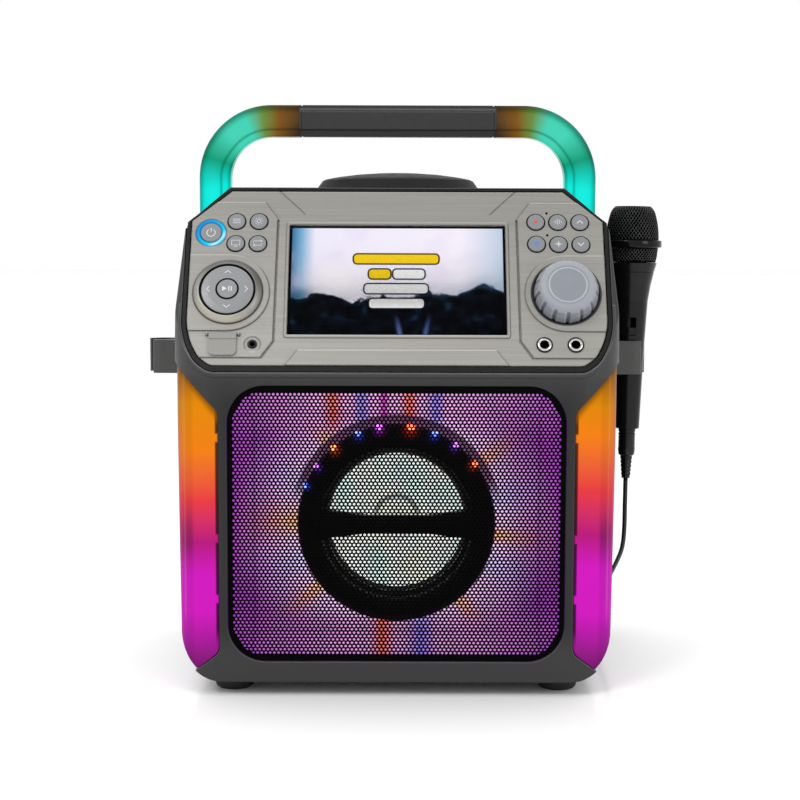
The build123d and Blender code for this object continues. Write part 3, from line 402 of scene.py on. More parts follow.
def ribbon(name, pts, width, place, w0, w1, closed=False):
    """A thin raised line along a path in a plane."""
    left, right = stroke(pts, width, closed)
    n = len(pts)
    vs = []
    for w in (w0, w1):
        vs += [place(*p, w) for p in left] + [place(*p, w) for p in right]
    fs = []
    m = n if closed else n - 1
    for i in range(m):
        j = (i + 1) % n
        fs.append([2 * n + i, 2 * n + j, 3 * n + j, 3 * n + i])
        fs.append([i, j, n + j, n + i])
        fs.append([i, j, 2 * n + j, 2 * n + i])
        fs.append([n + i, n + j, 3 * n + j, 3 * n + i])
    if not closed:
        fs.append([0, n, 3 * n, 2 * n])
        fs.append([n - 1, 2 * n - 1, 4 * n - 1, 3 * n - 1])
    o = mesh(name, vs, fs, smooth=False)
    return recalc(o)


# ---------------------------------------------------------------- camera
cam_data = bpy.data.cameras.new("camera")
cam_data.sensor_width = 36.0
cam_data.lens = 73.93
cam_data.clip_start, cam_data.clip_end = 0.05, 60.0
cam = bpy.data.objects.new("camera", cam_data)
bpy.context.scene.collection.objects.link(cam)
cam.matrix_world = (Matrix.Translation((-0.00308, -1.26775, 0.3238)) @ Matrix.Rotation(math.radians(84.5), 4, "X")
                    @ Matrix.Rotation(math.radians(0.18), 4, "Z"))
bpy.context.scene.camera = cam
bpy.context.scene.view_settings.view_transform = "Standard"

# ---------------------------------------------------------------- cord
CORD_D = 3.6
ROUTE = [(179.81, 30, 142.41), (179.58, 30, 122.41), (180.0, 33.0, 101.5), (180.6, 46.0, 84.0), (179.0, 64.0, 70.0),
         (176.2, 84.0, 55.0), (172.8, 104.0, 40.0), (169.4, 124.5, 27.0), (165.0, 145.0, 17.0), (158.6, 163.0, 8.4), (153.4, 179.0, 4.8)]
TAIL = [(104.5, 214.5, 13.8), (93.5, 212.0, 10.2), (86.0, 210.6, 8.5), (76.0, 210.4, 8.4)]
COIL = (118.0, 182.0)
TIE_AT = math.radians(238)


def coil_points():
    """The put-away turns: four layers of a flat spiral, each layer on the one below."""
    out = []
    per, step = 16, 3.75
    grow = 1 / math.cos(math.pi / per)
    a, r, z = math.radians(22.5), 32.2, 1.8 + OZ
    layers = [(-1, 69), (1, 69), (-1, 69), (1, 69)]
    for k, (way, n) in enumerate(layers):
        for i in range(n):
            # the step from one layer up to the next is spread over a third of a turn
            up = 3.6 * max(0.0, (i - (n - 6)) / 6) if k < 3 else 0.0
            wob = 0.10 * math.sin(2.0 * a + k * 1.7) + 0.08 * math.sin(3.0 * a + k)
            near = math.atan2(math.sin(a - TIE_AT), math.cos(a - TIE_AT))
            lift = 0.8 * math.exp(-(near / 0.5) ** 2)
            out.append((COIL[0] + (r + wob) * grow * math.cos(a), COIL[1] + (r + wob) * grow * math.sin(a), z + up + lift))
            a += 2 * math.pi / per
            r += way * step / per
        z += 3.6
    return out


pts = ROUTE + coil_points() + TAIL


def nurbs_line(points, res=5):
    """The smooth line through a route: a NURBS spline with these control points, as Blender draws it."""
    cu = bpy.data.curves.new("route", "CURVE")
    cu.dimensions = "3D"
    cu.resolution_u = res
    sp = cu.splines.new("NURBS")
    sp.points.add(len(points) - 1)
    for q, p in zip(sp.points, points):
        q.co = (*V(*p), 1.0)
    sp.order_u = 3
    sp.use_endpoint_u = True
    o = bpy.data.objects.new("route", cu)
    bpy.context.scene.collection.objects.link(o)
    dg = bpy.context.evaluated_depsgraph_get()
    me = bpy.data.meshes.new_from_object(o.evaluated_get(dg))
    line = [v.co.copy() for v in me.vertices]
    bpy.data.objects.remove(o)
    bpy.data.curves.remove(cu)
    bpy.data.meshes.remove(me)
    return line


def tube(name, line, radius, seg=10, caps=True):
    """A round tube along a line; radius may be a list, one for each point."""
    n = len(line)
    rad = radius if isinstance(radius, (list, tuple)) else [radius] * n
    tan = []
    for i in range(n):
        a, b = line[max(i - 1, 0)], line[min(i + 1, n - 1)]
        tan.append((b - a).normalized())
    up = Vector((0, 0, 1)) if abs(tan[0].z) < 0.9 else Vector((1, 0, 0))
    side = tan[0].cross(up).normalized()
    vs, fs = [], []
    for i in range(n):
        side = (side - tan[i] * side.dot(tan[i])).normalized()
        other = tan[i].cross(side)
        for k in range(seg):
            t = 2 * math.pi * k / seg
            vs.append(line[i] + (side * math.cos(t) + other * math.sin(t)) * rad[i])
    for i in range(n - 1):
        for k in range(seg):
            k2 = (k + 1) % seg
            fs.append([i * seg + k, i * seg + k2, (i + 1) * seg + k2, (i + 1) * seg + k])
    if caps:
        fs.append(list(range(seg))[::-1])
        fs.append([(n - 1) * seg + k for k in range(seg)])
    return mesh(name, vs, fs)


line = nurbs_line(pts)
cord = tube("microphone_cord", line, CORD_D / 2000, 10)

# the tie round the put-away turns: a flat strap with its end tucked under
TIE = V(COIL[0], COIL[1], OZ)
td = Vector((math.cos(TIE_AT), math.sin(TIE_AT), 0))
tt = Vector((-td.y, td.x, 0))
loop = rrect(24.1, 8.1, 21.9, 16.1, 5.0, 6)
vs, fs = [], []
sec = [(-4.2, 0.0), (-4.2, 0.75), (4.2, 0.75), (4.2, 0.0)]
n = len(loop)
for i, (r, z) in enumerate(loop):
    a, b = loop[i - 1], loop[(i + 1) % n]
    d = Vector((b[0] - a[0], b[1] - a[1])).normalized()
    nr, nz = d.y, -d.x
    for w, h in sec:
        vs.append(TIE + td * ((r - nr * (0.75 - h)) / 1000) + Vector((0, 0, (z - nz * (0.75 - h)) / 1000)) + tt * (w / 1000))
for i in range(n):
    for k in range(4):
        fs.append([i * 4 + k, i * 4 + (k + 1) % 4, ((i + 1) % n) * 4 + (k + 1) % 4, ((i + 1) % n) * 4 + k])
tie = recalc(mesh("cord_tie", vs, fs, smooth=False))

# 6.35 mm plug: tip, insulating rings, barrel, knurled grip and a ribbed boot
PLUG_AT = V(0, 210.4, 5.6 + OZ)
steel_prof = [(0, 8.4), (0.9, 8.5), (1.9, 9.3), (3.0, 12.3), (3.12, 13.0), (2.7, 14.4), (2.45, 15.0), (2.45, 15.8), (3.17, 16.4), (3.17, 41.4), (0, 41.4)]
plug_tip = lathe("plug_tip", steel_prof, PLUG_AT, (1, 0, 0), (0, 1, 0), 40)
plug_rings = join("plug_rings", [lathe(f"ring{k}", [(2.0, a), (3.22, a), (3.22, a + 0.8), (2.0, a + 0.8)], PLUG_AT, (1, 0, 0), (0, 1, 0), 40) for k, a in enumerate((16.6, 22.0))])


def knurl(r, h, t):
    return r - 0.16 * (0.5 + 0.5 * math.cos(28 * t)) if 48.2 < h < 62.8 and r > 5 else r


barrel = [(0, 41.0), (4.6, 41.0), (5.35, 41.7), (5.5, 42.4), (5.5, 47.6), (5.2, 48.0), (5.4, 48.4)] + [(5.4, 49.2 + 1.9 * k) for k in range(8)] + [(5.2, 63.2), (5.5, 63.6), (5.5, 69.0), (5.0, 70.0), (0, 70.0)]
plug_barrel = lathe("plug_barrel", barrel, PLUG_AT, (1, 0, 0), (0, 1, 0), 112, wave=knurl)
boot = [(0, 69.6), (4.3, 69.6), (4.3, 71.4), (3.7, 71.8), (3.7, 72.4), (4.0, 72.8), (4.0, 74.0), (3.4, 74.4), (3.4, 75.0), (3.7, 75.4), (3.6, 76.8), (3.1, 77.2), (3.1, 77.8), (3.3, 78.2), (3.2, 79.6), (2.7, 80.0), (2.7, 80.6), (2.9, 81.0), (2.7, 83.0), (1.9, 83.0), (1.9, 72.0), (0, 72.0)]
plug_boot = lathe("plug_boot", boot, PLUG_AT, (1, 0, 0), (0, 1, 0), 40)


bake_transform(cord)
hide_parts("mic_cord", "cord_coil")
for o in (tie, plug_tip, plug_rings, plug_barrel, plug_boot):
    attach(o, "cabinet")
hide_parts("mic_plug")

# ---------------------------------------------------------------- stage
world = bpy.data.worlds.new("studio")
bpy.context.scene.world = world
world.use_nodes = True
world.node_tree.nodes["Background"].inputs[0].default_value = (1, 1, 1, 1)
world.node_tree.nodes["Background"].inputs[1].default_value = 1.0

floor = mesh("floor", [(-12, -6, 0), (12, -6, 0), (12, 18, 0), (-12, 18, 0)], [[0, 1, 2, 3]], smooth=False)
fm = M("floor")
fm.s(Base_Color=fm.ramp(fm.noise(0.6, 2), [(0.3, (0.95, 0.95, 0.95)), (0.7, (0.97, 0.97, 0.97))]), Roughness=0.16, Specular_IOR_Level=0.35)
give(floor, fm)


def area(name, loc, target, w, h, power, col=(1, 1, 1)):
    d = bpy.data.lights.new(name, "AREA")
    d.shape = "RECTANGLE"
    d.size, d.size_y = w, h
    d.energy = power
    d.color = col
    o = bpy.data.objects.new(name, d)
    bpy.context.scene.collection.objects.link(o)
    o.location = loc
    o.rotation_mode = "QUATERNION"
    o.rotation_quaternion = (Vector(target) - Vector(loc)).to_track_quat("-Z", "Y")
    return o


area("key", (-1.1, -1.3, 1.6), (0, 0, 0.22), 0.9, 0.6, 15.0)
area("fill", (1.4, -1.2, 0.9), (0, 0, 0.22), 0.7, 0.9, 7.0)
area("top", (0.0, 0.2, 1.9), (0, 0, 0.3), 1.4, 0.9, 10.0)

# ---------------------------------------------------------------- materials
def mm(m):
    """Object coordinates in mm about the cabinet's middle plane, floor level as in the route points."""
    return m.map(scale=(1000, 1000, 1000), loc=(OX, OY, OZ))


def panel_uvw(m):
    """Right, up the slope and outward on the control panel, in mm."""
    p = mm(m)
    x = m.xyz(p)
    rel = m.vmath("SUBTRACT", p, (0, PY, PZ))
    return x[0], m.dot(rel, (0, SN, CS)), m.dot(rel, (0, -CS, SN)), p


def gauss(m, v, centre, width):
    """A soft bump in v about a centre."""
    d = m.math("DIVIDE", m.math("SUBTRACT", v, centre), width)
    return m.math("EXPONENT", m.math("MULTIPLY", m.math("MULTIPLY", d, d), -1.0))


def spread(stops, lo, hi):
    """Ramp stops from values in their own units."""
    return [((p - lo) / (hi - lo), lin(*c)) for p, c in stops]


def edge_highlight_and_shade(m, base, up, radius, light, dark, amount=0.8, first=0.998, last=0.93, side=0.0):
    """Rounded edges get a painted highlight line where they turn up and a painted shade line where they turn down."""
    wide = m.bevel(radius)
    turn = m.mrange(m.dot(wide, m.n("NewGeometry").outputs["True Normal"]), first, last, 0, 1)
    way = m.math("SUBTRACT", m.dot(wide, up), m.math("MULTIPLY", m.math("ABSOLUTE", m.xyz(wide)[0]), side))
    base = m.mix(m.math("MULTIPLY", turn, m.mrange(way, 0.06, 0.42, 0, amount)), base, light)
    return m.mix(m.math("MULTIPLY", turn, m.mrange(way, 0.02, -0.34, 0, amount)), base, dark)


def recolour(m, fn):
    """Passes what drives the base colour through fn(socket) and puts it back."""
    s_ = m.b.inputs["Base Color"]
    m.put(s_, fn(s_.links[0].from_socket))
    return m


def facing_shade_and_light(m, base, up_mult, down_mult):
    """Upper faces a little darker and lower ones a little lighter than the moulding: painted shade on upper faces and
    painted light on lower ones, by which way a face points.
    """
    nz = m.xyz(m.n("NewGeometry").outputs["Normal"])[2]
    base = m.mix(m.mrange(nz, 0.25, 0.85, 0, 1), base, m.mix(1.0, base, (up_mult,) * 3, "MULTIPLY"))
    return m.mix(m.mrange(nz, -0.25, -0.85, 0, 1), base, m.mix(1.0, base, (down_mult,) * 3, "MULTIPLY"))


mats = {}
mats["cabinet"] = plastic("cabinet_grain", lin(43, 43, 43), rough=0.42, grain=0.3, scale=1500, var=0.05, bevel=0.0009, spec=0.3)
mats["rear"] = plastic("cabinet_rear_grain", lin(38, 38, 39), rough=0.5, grain=0.4, scale=1100, var=0.08, bevel=0.0007, spec=0.28)
mats["lid"] = plastic("lid_plastic", lin(40, 40, 40), rough=0.5, grain=0.15, scale=1700, var=0.05, bevel=0.0006, spec=0.08)
mats["grip"] = plastic("grip_rubber", lin(50, 50, 50), rough=0.45, grain=0.25, scale=1300, var=0.08, bevel=0.0004, spec=0.1)
mats["bezel"] = plastic("bezel_gloss", lin(15, 15, 14), rough=0.3, grain=0.06, scale=1700, var=0.06, bevel=0.0005, spec=0.22)
mats["clip"] = plastic("clip_plastic", lin(58, 58, 57), rough=0.24, grain=0.12, scale=1500, var=0.08, bevel=0.0006, spec=0.5)
mats["black"] = plastic("black_satin", lin(14, 14, 15), rough=0.36, grain=0.12, scale=1700, var=0.1, bevel=0.0004, spec=0.25)
mats["void"] = plastic("black_inside_and_gap_shade", lin(3, 3, 3), rough=0.6, grain=0.12, scale=1300, var=0.2, bevel=0.0004, spec=0.06)
mats["trim"] = plastic("trim_black", lin(3, 3, 4), rough=0.42, grain=0.2, scale=1200, var=0.2, bevel=0.0005, spec=0.07)
mats["rubber"] = plastic("rubber", lin(26, 26, 27), rough=0.62, grain=0.2, scale=900, var=0.12, bevel=0.0004, spec=0.35)
mats["cord"] = plastic("cord_jacket", lin(17, 17, 18), spec=0.35, rough=0.36, grain=0.1, scale=700, var=0.1, bevel=None)
mats["chrome"] = metal("nickel", (0.62, 0.61, 0.58), rough=0.16)
mats["steel"] = metal("steel", (0.5, 0.5, 0.51), rough=0.3)
mats["zinc"] = metal("zinc_frame", (0.30, 0.30, 0.31), rough=0.42)
mats["gold"] = metal("contact_gold", (0.75, 0.56, 0.24), rough=0.25)
mats["board"] = plastic("board", lin(22, 70, 42), rough=0.4, grain=0.1, scale=500, var=0.22)
mats["wrap"] = plastic("battery_wrap", lin(30, 70, 130), rough=0.35, grain=0.05, scale=300, var=0.15, coat=0.3)
mats["inner"] = plastic("inner_black", lin(28, 28, 30), rough=0.5, grain=0.2, scale=1100, var=0.1)
mats["faint"] = plastic("print_faint", lin(174, 176, 179), rough=0.5, grain=0.05, scale=900, var=0.04, bevel=None)
mats["white"] = plastic("print_white", lin(190, 192, 194), rough=0.5, grain=0.05, scale=900, var=0.04, bevel=None)
mats["blueprint"] = plastic("print_blue", lin(50, 120, 215), rough=0.5, grain=0.05, scale=900, var=0.05, bevel=None)
mats["redprint"] = plastic("print_red", lin(190, 60, 50), rough=0.5, grain=0.05, scale=900, var=0.05, bevel=None)


# painted highlight and painted shade along the cabinet's rounded edges
recolour(mats["cabinet"], lambda c: edge_highlight_and_shade(mats["cabinet"], c, (0.1, -0.25, 0.95), 0.0013, lin(96, 96, 97), lin(14, 14, 14), 0.75))
# painted shade on the posts between the grille and the lamps, deepest next to the grille, and painted light on the band
# between the grille and the panel
def post_shade_and_band_light(m, c):
    x_, _, z_ = m.xyz(mm(m))
    ax_ = m.math("ABSOLUTE", x_)
    mask = m.math("MULTIPLY", m.mrange(ax_, 134.5, 131.0, 0, 1), m.math("MULTIPLY", m.mrange(z_, 238.0, 208.0, 0, 1), m.mrange(z_, 30.0, 56.0, 0, 1)))
    c = m.mix(m.math("MULTIPLY", mask, m.mrange(ax_, 131.5, 120.0, 0.42, 0.80)), c, m.mix(1.0, c, (0.22, 0.22, 0.22), "MULTIPLY"))
    return m.mix(m.math("MULTIPLY", m.mrange(z_, 227.0, 236.0, 0, 1), m.mrange(z_, 262.0, 250.0, 0, 1)), c, m.mix(1.0, c, (1.45, 1.45, 1.45), "MULTIPLY"))


recolour(mats["cabinet"], lambda c: post_shade_and_band_light(mats["cabinet"], c))
# grip: painted shade on its upper faces and painted light on its lower ones, painted highlight and shade lines along
# its rounded edges, a painted highlight line near the top with painted shade above it, and a dark line lower on the
# front
recolour(mats["grip"], lambda c: facing_shade_and_light(mats["grip"], edge_highlight_and_shade(mats["grip"], c, (0.0, -0.2, 0.97), 0.0012, lin(104, 104, 104), lin(8, 8, 8), 0.7), 0.25, 1.35))
recolour(mats["grip"], lambda c: (lambda g, d: g.mix(g.math("MULTIPLY", gauss(g, d, -6.9, 0.55), 0.75), g.mix(g.math("MULTIPLY", gauss(g, d, 8.4, 0.5), 0.5), g.mix(g.mrange(d, 9.6, 10.4, 0, 0.6), c, lin(14, 14, 14)), lin(96, 96, 96)), lin(14, 14, 14)))(mats["grip"], mats["grip"].math("SUBTRACT", mats["grip"].xyz(mm(mats["grip"]))[2], 415.4)))
# lid: painted shade on its upper faces
recolour(mats["lid"], lambda c: facing_shade_and_light(mats["lid"], c, 0.62, 1.0))

# control panel: silver paint over plastic, brushed along its width
m = M("panel_brushed")
u, v, w, p = panel_uvw(m)
fine = m.noise(1.0, 3, 0.6, m.map(scale=(9.0, 1900.0, 1900.0)))
mid = m.noise(1.0, 3, 0.6, m.map(scale=(4.0, 330.0, 330.0)))
cloud = m.noise(7.0, 2)
f = m.math("MULTIPLY_ADD", fine, 0.5, m.math("MULTIPLY_ADD", mid, 0.35, m.math("MULTIPLY", cloud, 0.15)))
brush_and_painted_light = m.ramp(f, [(0.34, lin(127, 125, 120)), (0.5, lin(136, 134, 129)), (0.66, lin(145, 143, 138))])
# painted highlight and painted shade along the panel's rounded edges
brush_and_painted_light = edge_highlight_and_shade(m, brush_and_painted_light, (0.0, SN, CS), 0.0013, lin(190, 189, 185), lin(28, 27, 25), 0.85, side=1.3)
# bowl round the direction pad: its upper wall in shade, its lower wall lit, a dark line where it meets the plate
du, dv = m.math("SUBTRACT", u, -121.1), m.math("SUBTRACT", v, 52.4)
pr = m.math("SQRT", m.math("ADD", m.math("MULTIPLY", du, du), m.math("MULTIPLY", dv, dv)))
bowl = m.math("MULTIPLY", m.mrange(pr, 20.3, 20.9, 0, 1), m.mrange(pr, 25.1, 24.5, 0, 1))
lean = m.math("DIVIDE", m.math("MULTIPLY_ADD", dv, 0.92, m.math("MULTIPLY", du, 0.38)), pr)
brush_and_painted_light = m.mix(m.math("MULTIPLY", bowl, m.mrange(lean, -0.25, 0.75, 0, 0.72)), brush_and_painted_light, lin(52, 50, 46))
brush_and_painted_light = m.mix(m.math("MULTIPLY", bowl, m.mrange(lean, -0.35, -0.95, 0, 0.5)), brush_and_painted_light, lin(172, 166, 148))
brush_and_painted_light = m.mix(m.math("MULTIPLY", gauss(m, pr, 25.0, 0.55), 0.82), brush_and_painted_light, lin(26, 25, 23))
# painted shade on the wall of the direction pad's hole
brush_and_painted_light = m.mix(m.mrange(pr, 20.45, 20.15, 0, 0.97), brush_and_painted_light, lin(5, 5, 5))
# painted shadow: the well round the dial is nearly black
du, dv = m.math("SUBTRACT", u, 120.9), m.math("SUBTRACT", v, 52.3)
kr = m.math("SQRT", m.math("ADD", m.math("MULTIPLY", du, du), m.math("MULTIPLY", dv, dv)))
brush_and_painted_light = m.mix(m.mrange(kr, 25.9, 25.1, 0, 0.94), brush_and_painted_light, lin(9, 9, 9))
# painted light low on the panel and painted shade high on it
brush_and_painted_light = m.mix(m.mrange(v, 20.0, 122.0, 0, 1, smooth=False), m.mix(1.0, brush_and_painted_light, (1.09, 1.09, 1.09), "MULTIPLY"), m.mix(1.0, brush_and_painted_light, (0.88, 0.88, 0.88), "MULTIPLY"))
m.s(Base_Color=brush_and_painted_light)
m.s(Metallic=0.22, Roughness=m.mrange(fine, 0.25, 0.75, 0.30, 0.44))
m.s(Normal=m.bump(m.math("MULTIPLY_ADD", fine, 0.6, m.math("MULTIPLY", mid, 0.4)), 0.16, 0.00007, m.bevel(0.00035)))
mats["panel"] = m


# keys and dial: pale grey-blue satin plastic
mats["key"] = plastic("key_plastic", lin(115, 117, 119), rough=0.36, grain=0.1, scale=1700, var=0.04, bevel=0.0004)
mats["knob"] = plastic("knob_plastic", lin(119, 123, 131), rough=0.34, grain=0.08, scale=1700, var=0.03, bevel=0.0006)
m = mats["knob"]
u, v, w, p = panel_uvw(m)
ku, kv = m.math("SUBTRACT", u, 120.9), m.math("SUBTRACT", v, 52.3)
kr = m.math("SQRT", m.math("ADD", m.math("MULTIPLY", ku, ku), m.math("MULTIPLY", kv, kv)))
ka = m.math("ARCTAN2", kv, ku)
low_side = m.mrange(w, 14.2, 13.0, 0, 1)
# painted shade in the flutes, a painted highlight on one side of each, a painted shade line in the ring round the top
# and a painted highlight on the crest of the rim
flute_shade = m.math("MULTIPLY", m.mrange(m.math("MULTIPLY", m.math("COSINE", m.math("MULTIPLY", ka, 14.0)), -1.0), 0.50, 0.74, 0, 1), low_side)
lip_highlight = m.math("MULTIPLY", m.mrange(m.math("MULTIPLY", m.math("COSINE", m.math("MULTIPLY_ADD", ka, 14.0, 1.0)), -1.0), 0.70, 0.92, 0, 1), low_side)
groove_shade = m.math("MULTIPLY", gauss(m, kr, 13.4, 0.5), m.mrange(w, 14.0, 15.0, 0, 1))
crest_highlight = m.math("MULTIPLY", m.mrange(kr, 14.2, 16.0, 0, 1), m.mrange(w, 11.0, 14.0, 0, 1))
recolour(m, lambda c: m.mix(m.math("MULTIPLY", flute_shade, 0.72), m.mix(m.math("MULTIPLY", lip_highlight, 0.3), m.mix(m.math("MULTIPLY", groove_shade, 0.6), m.mix(m.math("MULTIPLY", crest_highlight, 0.35), c, lin(160, 163, 166)), lin(180, 184, 192)), lin(172, 175, 178)), lin(64, 67, 72)))
mats["dpad"] = plastic("dpad_plastic", lin(121, 123, 125), rough=0.33, grain=0.08, scale=1700, var=0.035, bevel=0.0005)
m = mats["dpad"]
u, v, w, p = panel_uvw(m)
du, dv = m.math("SUBTRACT", u, -121.1), m.math("SUBTRACT", v, 52.4)
pr = m.math("SQRT", m.math("ADD", m.math("MULTIPLY", du, du), m.math("MULTIPLY", dv, dv)))
# painted shade in the gap round the play button and on the pad's outer wall
gap = m.math("MAXIMUM", m.math("MULTIPLY", m.mrange(pr, 6.95, 7.2, 0, 1), m.mrange(pr, 8.6, 8.35, 0, 1)), m.mrange(pr, 18.45, 18.7, 0, 1))
recolour(m, lambda c: m.mix(gap, c, lin(5, 5, 5)))
mats["portgrey"] = plastic("port_rubber", lin(128, 127, 123), rough=0.55, grain=0.2, scale=1000, var=0.05, bevel=0.0003)

# power ring: cyan light, whiter low on the right, darker at both rims
m = M("power_ring")
u, v, w, p = panel_uvw(m)
pu, pv = -135.2, 100.0
du, dv = m.math("SUBTRACT", u, pu), m.math("SUBTRACT", v, pv)
rr_ = m.math("SQRT", m.math("ADD", m.math("MULTIPLY", du, du), m.math("MULTIPLY", dv, dv)))
diag = m.math("MULTIPLY", m.math("SUBTRACT", du, dv), 0.0643)
c = m.ramp(m.math("MULTIPLY_ADD", diag, 0.5, 0.5), [(0.05, lin(0, 150, 222)), (0.45, lin(2, 184, 238)), (0.72, lin(8, 212, 246)), (0.88, lin(180, 246, 252)), (1.0, lin(30, 226, 248))])
rim = m.math("ADD", m.mrange(rr_, 8.9, 7.9, 0, 1), m.mrange(rr_, 10.0, 11.0, 0, 1), clamp=True)
c = m.mix(m.math("MULTIPLY", rim, 0.75), c, lin(10, 70, 150))
m.s(Base_Color=m.mix(m.noise(300, 2), lin(4, 14, 20), lin(8, 20, 28)), Roughness=m.mrange(m.noise(400, 2), 0.3, 0.7, 0.22, 0.32), Emission_Color=c, Emission_Strength=0.97, Specular_IOR_Level=0.1)
mats["ring_light"] = m

# side lamps: one tall gradient, glossy, with painted shade along the outer edge
# lamp colours: a short palette, by its own names
DIM_PURPLE, MAGENTA, CRIMSON, RED, ORANGE, AMBER, DIM_AMBER = (60, 24, 56), (212, 24, 192), (185, 24, 125), (235, 60, 65), (245, 130, 15), (228, 138, 0), (95, 55, 15)
LAMP_L = [(12, DIM_PURPLE), (62, MAGENTA), (88, MAGENTA), (112, CRIMSON), (142, RED), (178, ORANGE), (212, AMBER), (246, DIM_AMBER)]
LAMP_R = [(12, DIM_PURPLE), (62, MAGENTA), (94, MAGENTA), (118, CRIMSON), (150, RED), (190, ORANGE), (210, AMBER), (246, DIM_AMBER)]


def lamp(name, side):
    m = M(name)
    p = mm(m)
    x, y, z = m.xyz(p)
    ax = m.math("MULTIPLY", x, float(side))
    zz = m.math("MULTIPLY_ADD", m.math("SUBTRACT", 150.0, ax), -0.10, z)
    t = m.math("DIVIDE", m.math("SUBTRACT", zz, 8.0), 244.0)
    c = m.ramp(t, spread(LAMP_L if side < 0 else LAMP_R, 8.0, 252.0))
    # painted shade: a duller tall band towards the outside, darkest where red turns to magenta
    c = m.mix(m.math("MULTIPLY", m.mrange(ax, 143.5, 146.5, 0, 1), m.math("MULTIPLY_ADD", gauss(m, z, 116.0, 17.0), 0.42, 0.30)), c, m.mix(1.0, c, (0.52, 0.62, 0.62), "MULTIPLY"))
    # painted shade along the outer edge where the lamp turns to the side, and in a band just inside it
    edge = m.mrange(ax, 152.5, 158.6, 0, 1)
    band = m.math("MULTIPLY", gauss(m, ax, 148.5, 3.2), gauss(m, z, 118.0, 16.0))
    c = m.mix(m.math("MULTIPLY", band, 0.30), c, lin(110, 24, 66))
    c = m.mix(m.math("MULTIPLY", edge, 0.62), c, m.mix(m.mrange(z, 150.0, 205.0, 0, 1), lin(176, 60, 120), lin(96, 66, 12)))
    cloud = m.noise(38.0, 2)
    c = m.mix(m.mrange(cloud, 0.3, 0.7, 0.0, 0.10), c, m.mix(1.0, c, (0.75, 0.75, 0.75), "MULTIPLY"))
    # painted shade at the inner rim and in the gap along the inner edge, broken where the tabs cross it
    bridge = m.math("MAXIMUM", gauss(m, z, 188.5, 3.6), m.math("MAXIMUM", gauss(m, z, 116.4, 3.6), gauss(m, z, 72.8, 3.6)))
    slot_shade = m.math("MULTIPLY", m.mrange(ax, 129.0, 127.7, 0, 0.9), m.math("SUBTRACT", 1.0, m.mrange(bridge, 0.35, 0.7, 0, 1)))
    slot_shade = m.math("MULTIPLY", slot_shade, m.math("MULTIPLY", m.mrange(z, 214.0, 196.0, 0, 1), m.mrange(z, 34.0, 52.0, 0, 1)))
    inner_rim_shade = m.mrange(ax, 127.4, 126.4, 0, 0.6)
    # painted shade along the slanted top edge
    brow_shade = m.mrange(m.math("SUBTRACT", z, m.math("MULTIPLY_ADD", m.math("SUBTRACT", ax, 126.0), 1.18, 210.0)), -14.0, -3.0, 0, 0.75)
    c = m.mix(brow_shade, c, lin(58, 32, 6))
    c = m.mix(m.math("MAXIMUM", slot_shade, inner_rim_shade), c, (0.006, 0.002, 0.005))
    # a painted highlight line running up the front near the outer edge
    highlight_line = m.math("MULTIPLY", gauss(m, ax, 151.6, 0.7), m.math("MULTIPLY", m.mrange(z, 46.0, 70.0, 0, 1), m.mrange(y, -84.0, -90.0, 0, 1)))
    c = m.mix(m.math("MULTIPLY", highlight_line, 0.13), c, lin(255, 214, 190))
    m.s(Base_Color=m.mix(0.99, c, (0.001, 0.001, 0.001)), Emission_Color=c, Emission_Strength=1.0)
    m.s(Roughness=m.mrange(m.noise(300, 2), 0.3, 0.7, 0.20, 0.28), Coat_Weight=0.04, Coat_Roughness=0.04, Specular_IOR_Level=0.01)
    m.s(Normal=m.bevel(0.0012))
    return m


mats["lamp_l"] = lamp("side_lamp_glow_left", -1)
mats["lamp_r"] = lamp("side_lamp_glow_right", 1)

# handle tubes: turquoise legs turning green round the bend and brown at the grip
CYAN, GREEN, AQUA, OLIVE, BROWN, UMBER = (0, 235, 222), (2, 155, 118), (66, 210, 180), (105, 140, 60), (125, 82, 20), (60, 42, 26)
HUE_L = [(-48, CYAN), (-10, CYAN), (18, GREEN), (46, AQUA), (66, AQUA), (82, OLIVE), (97, BROWN), (120, UMBER)]
HUE_R = HUE_L


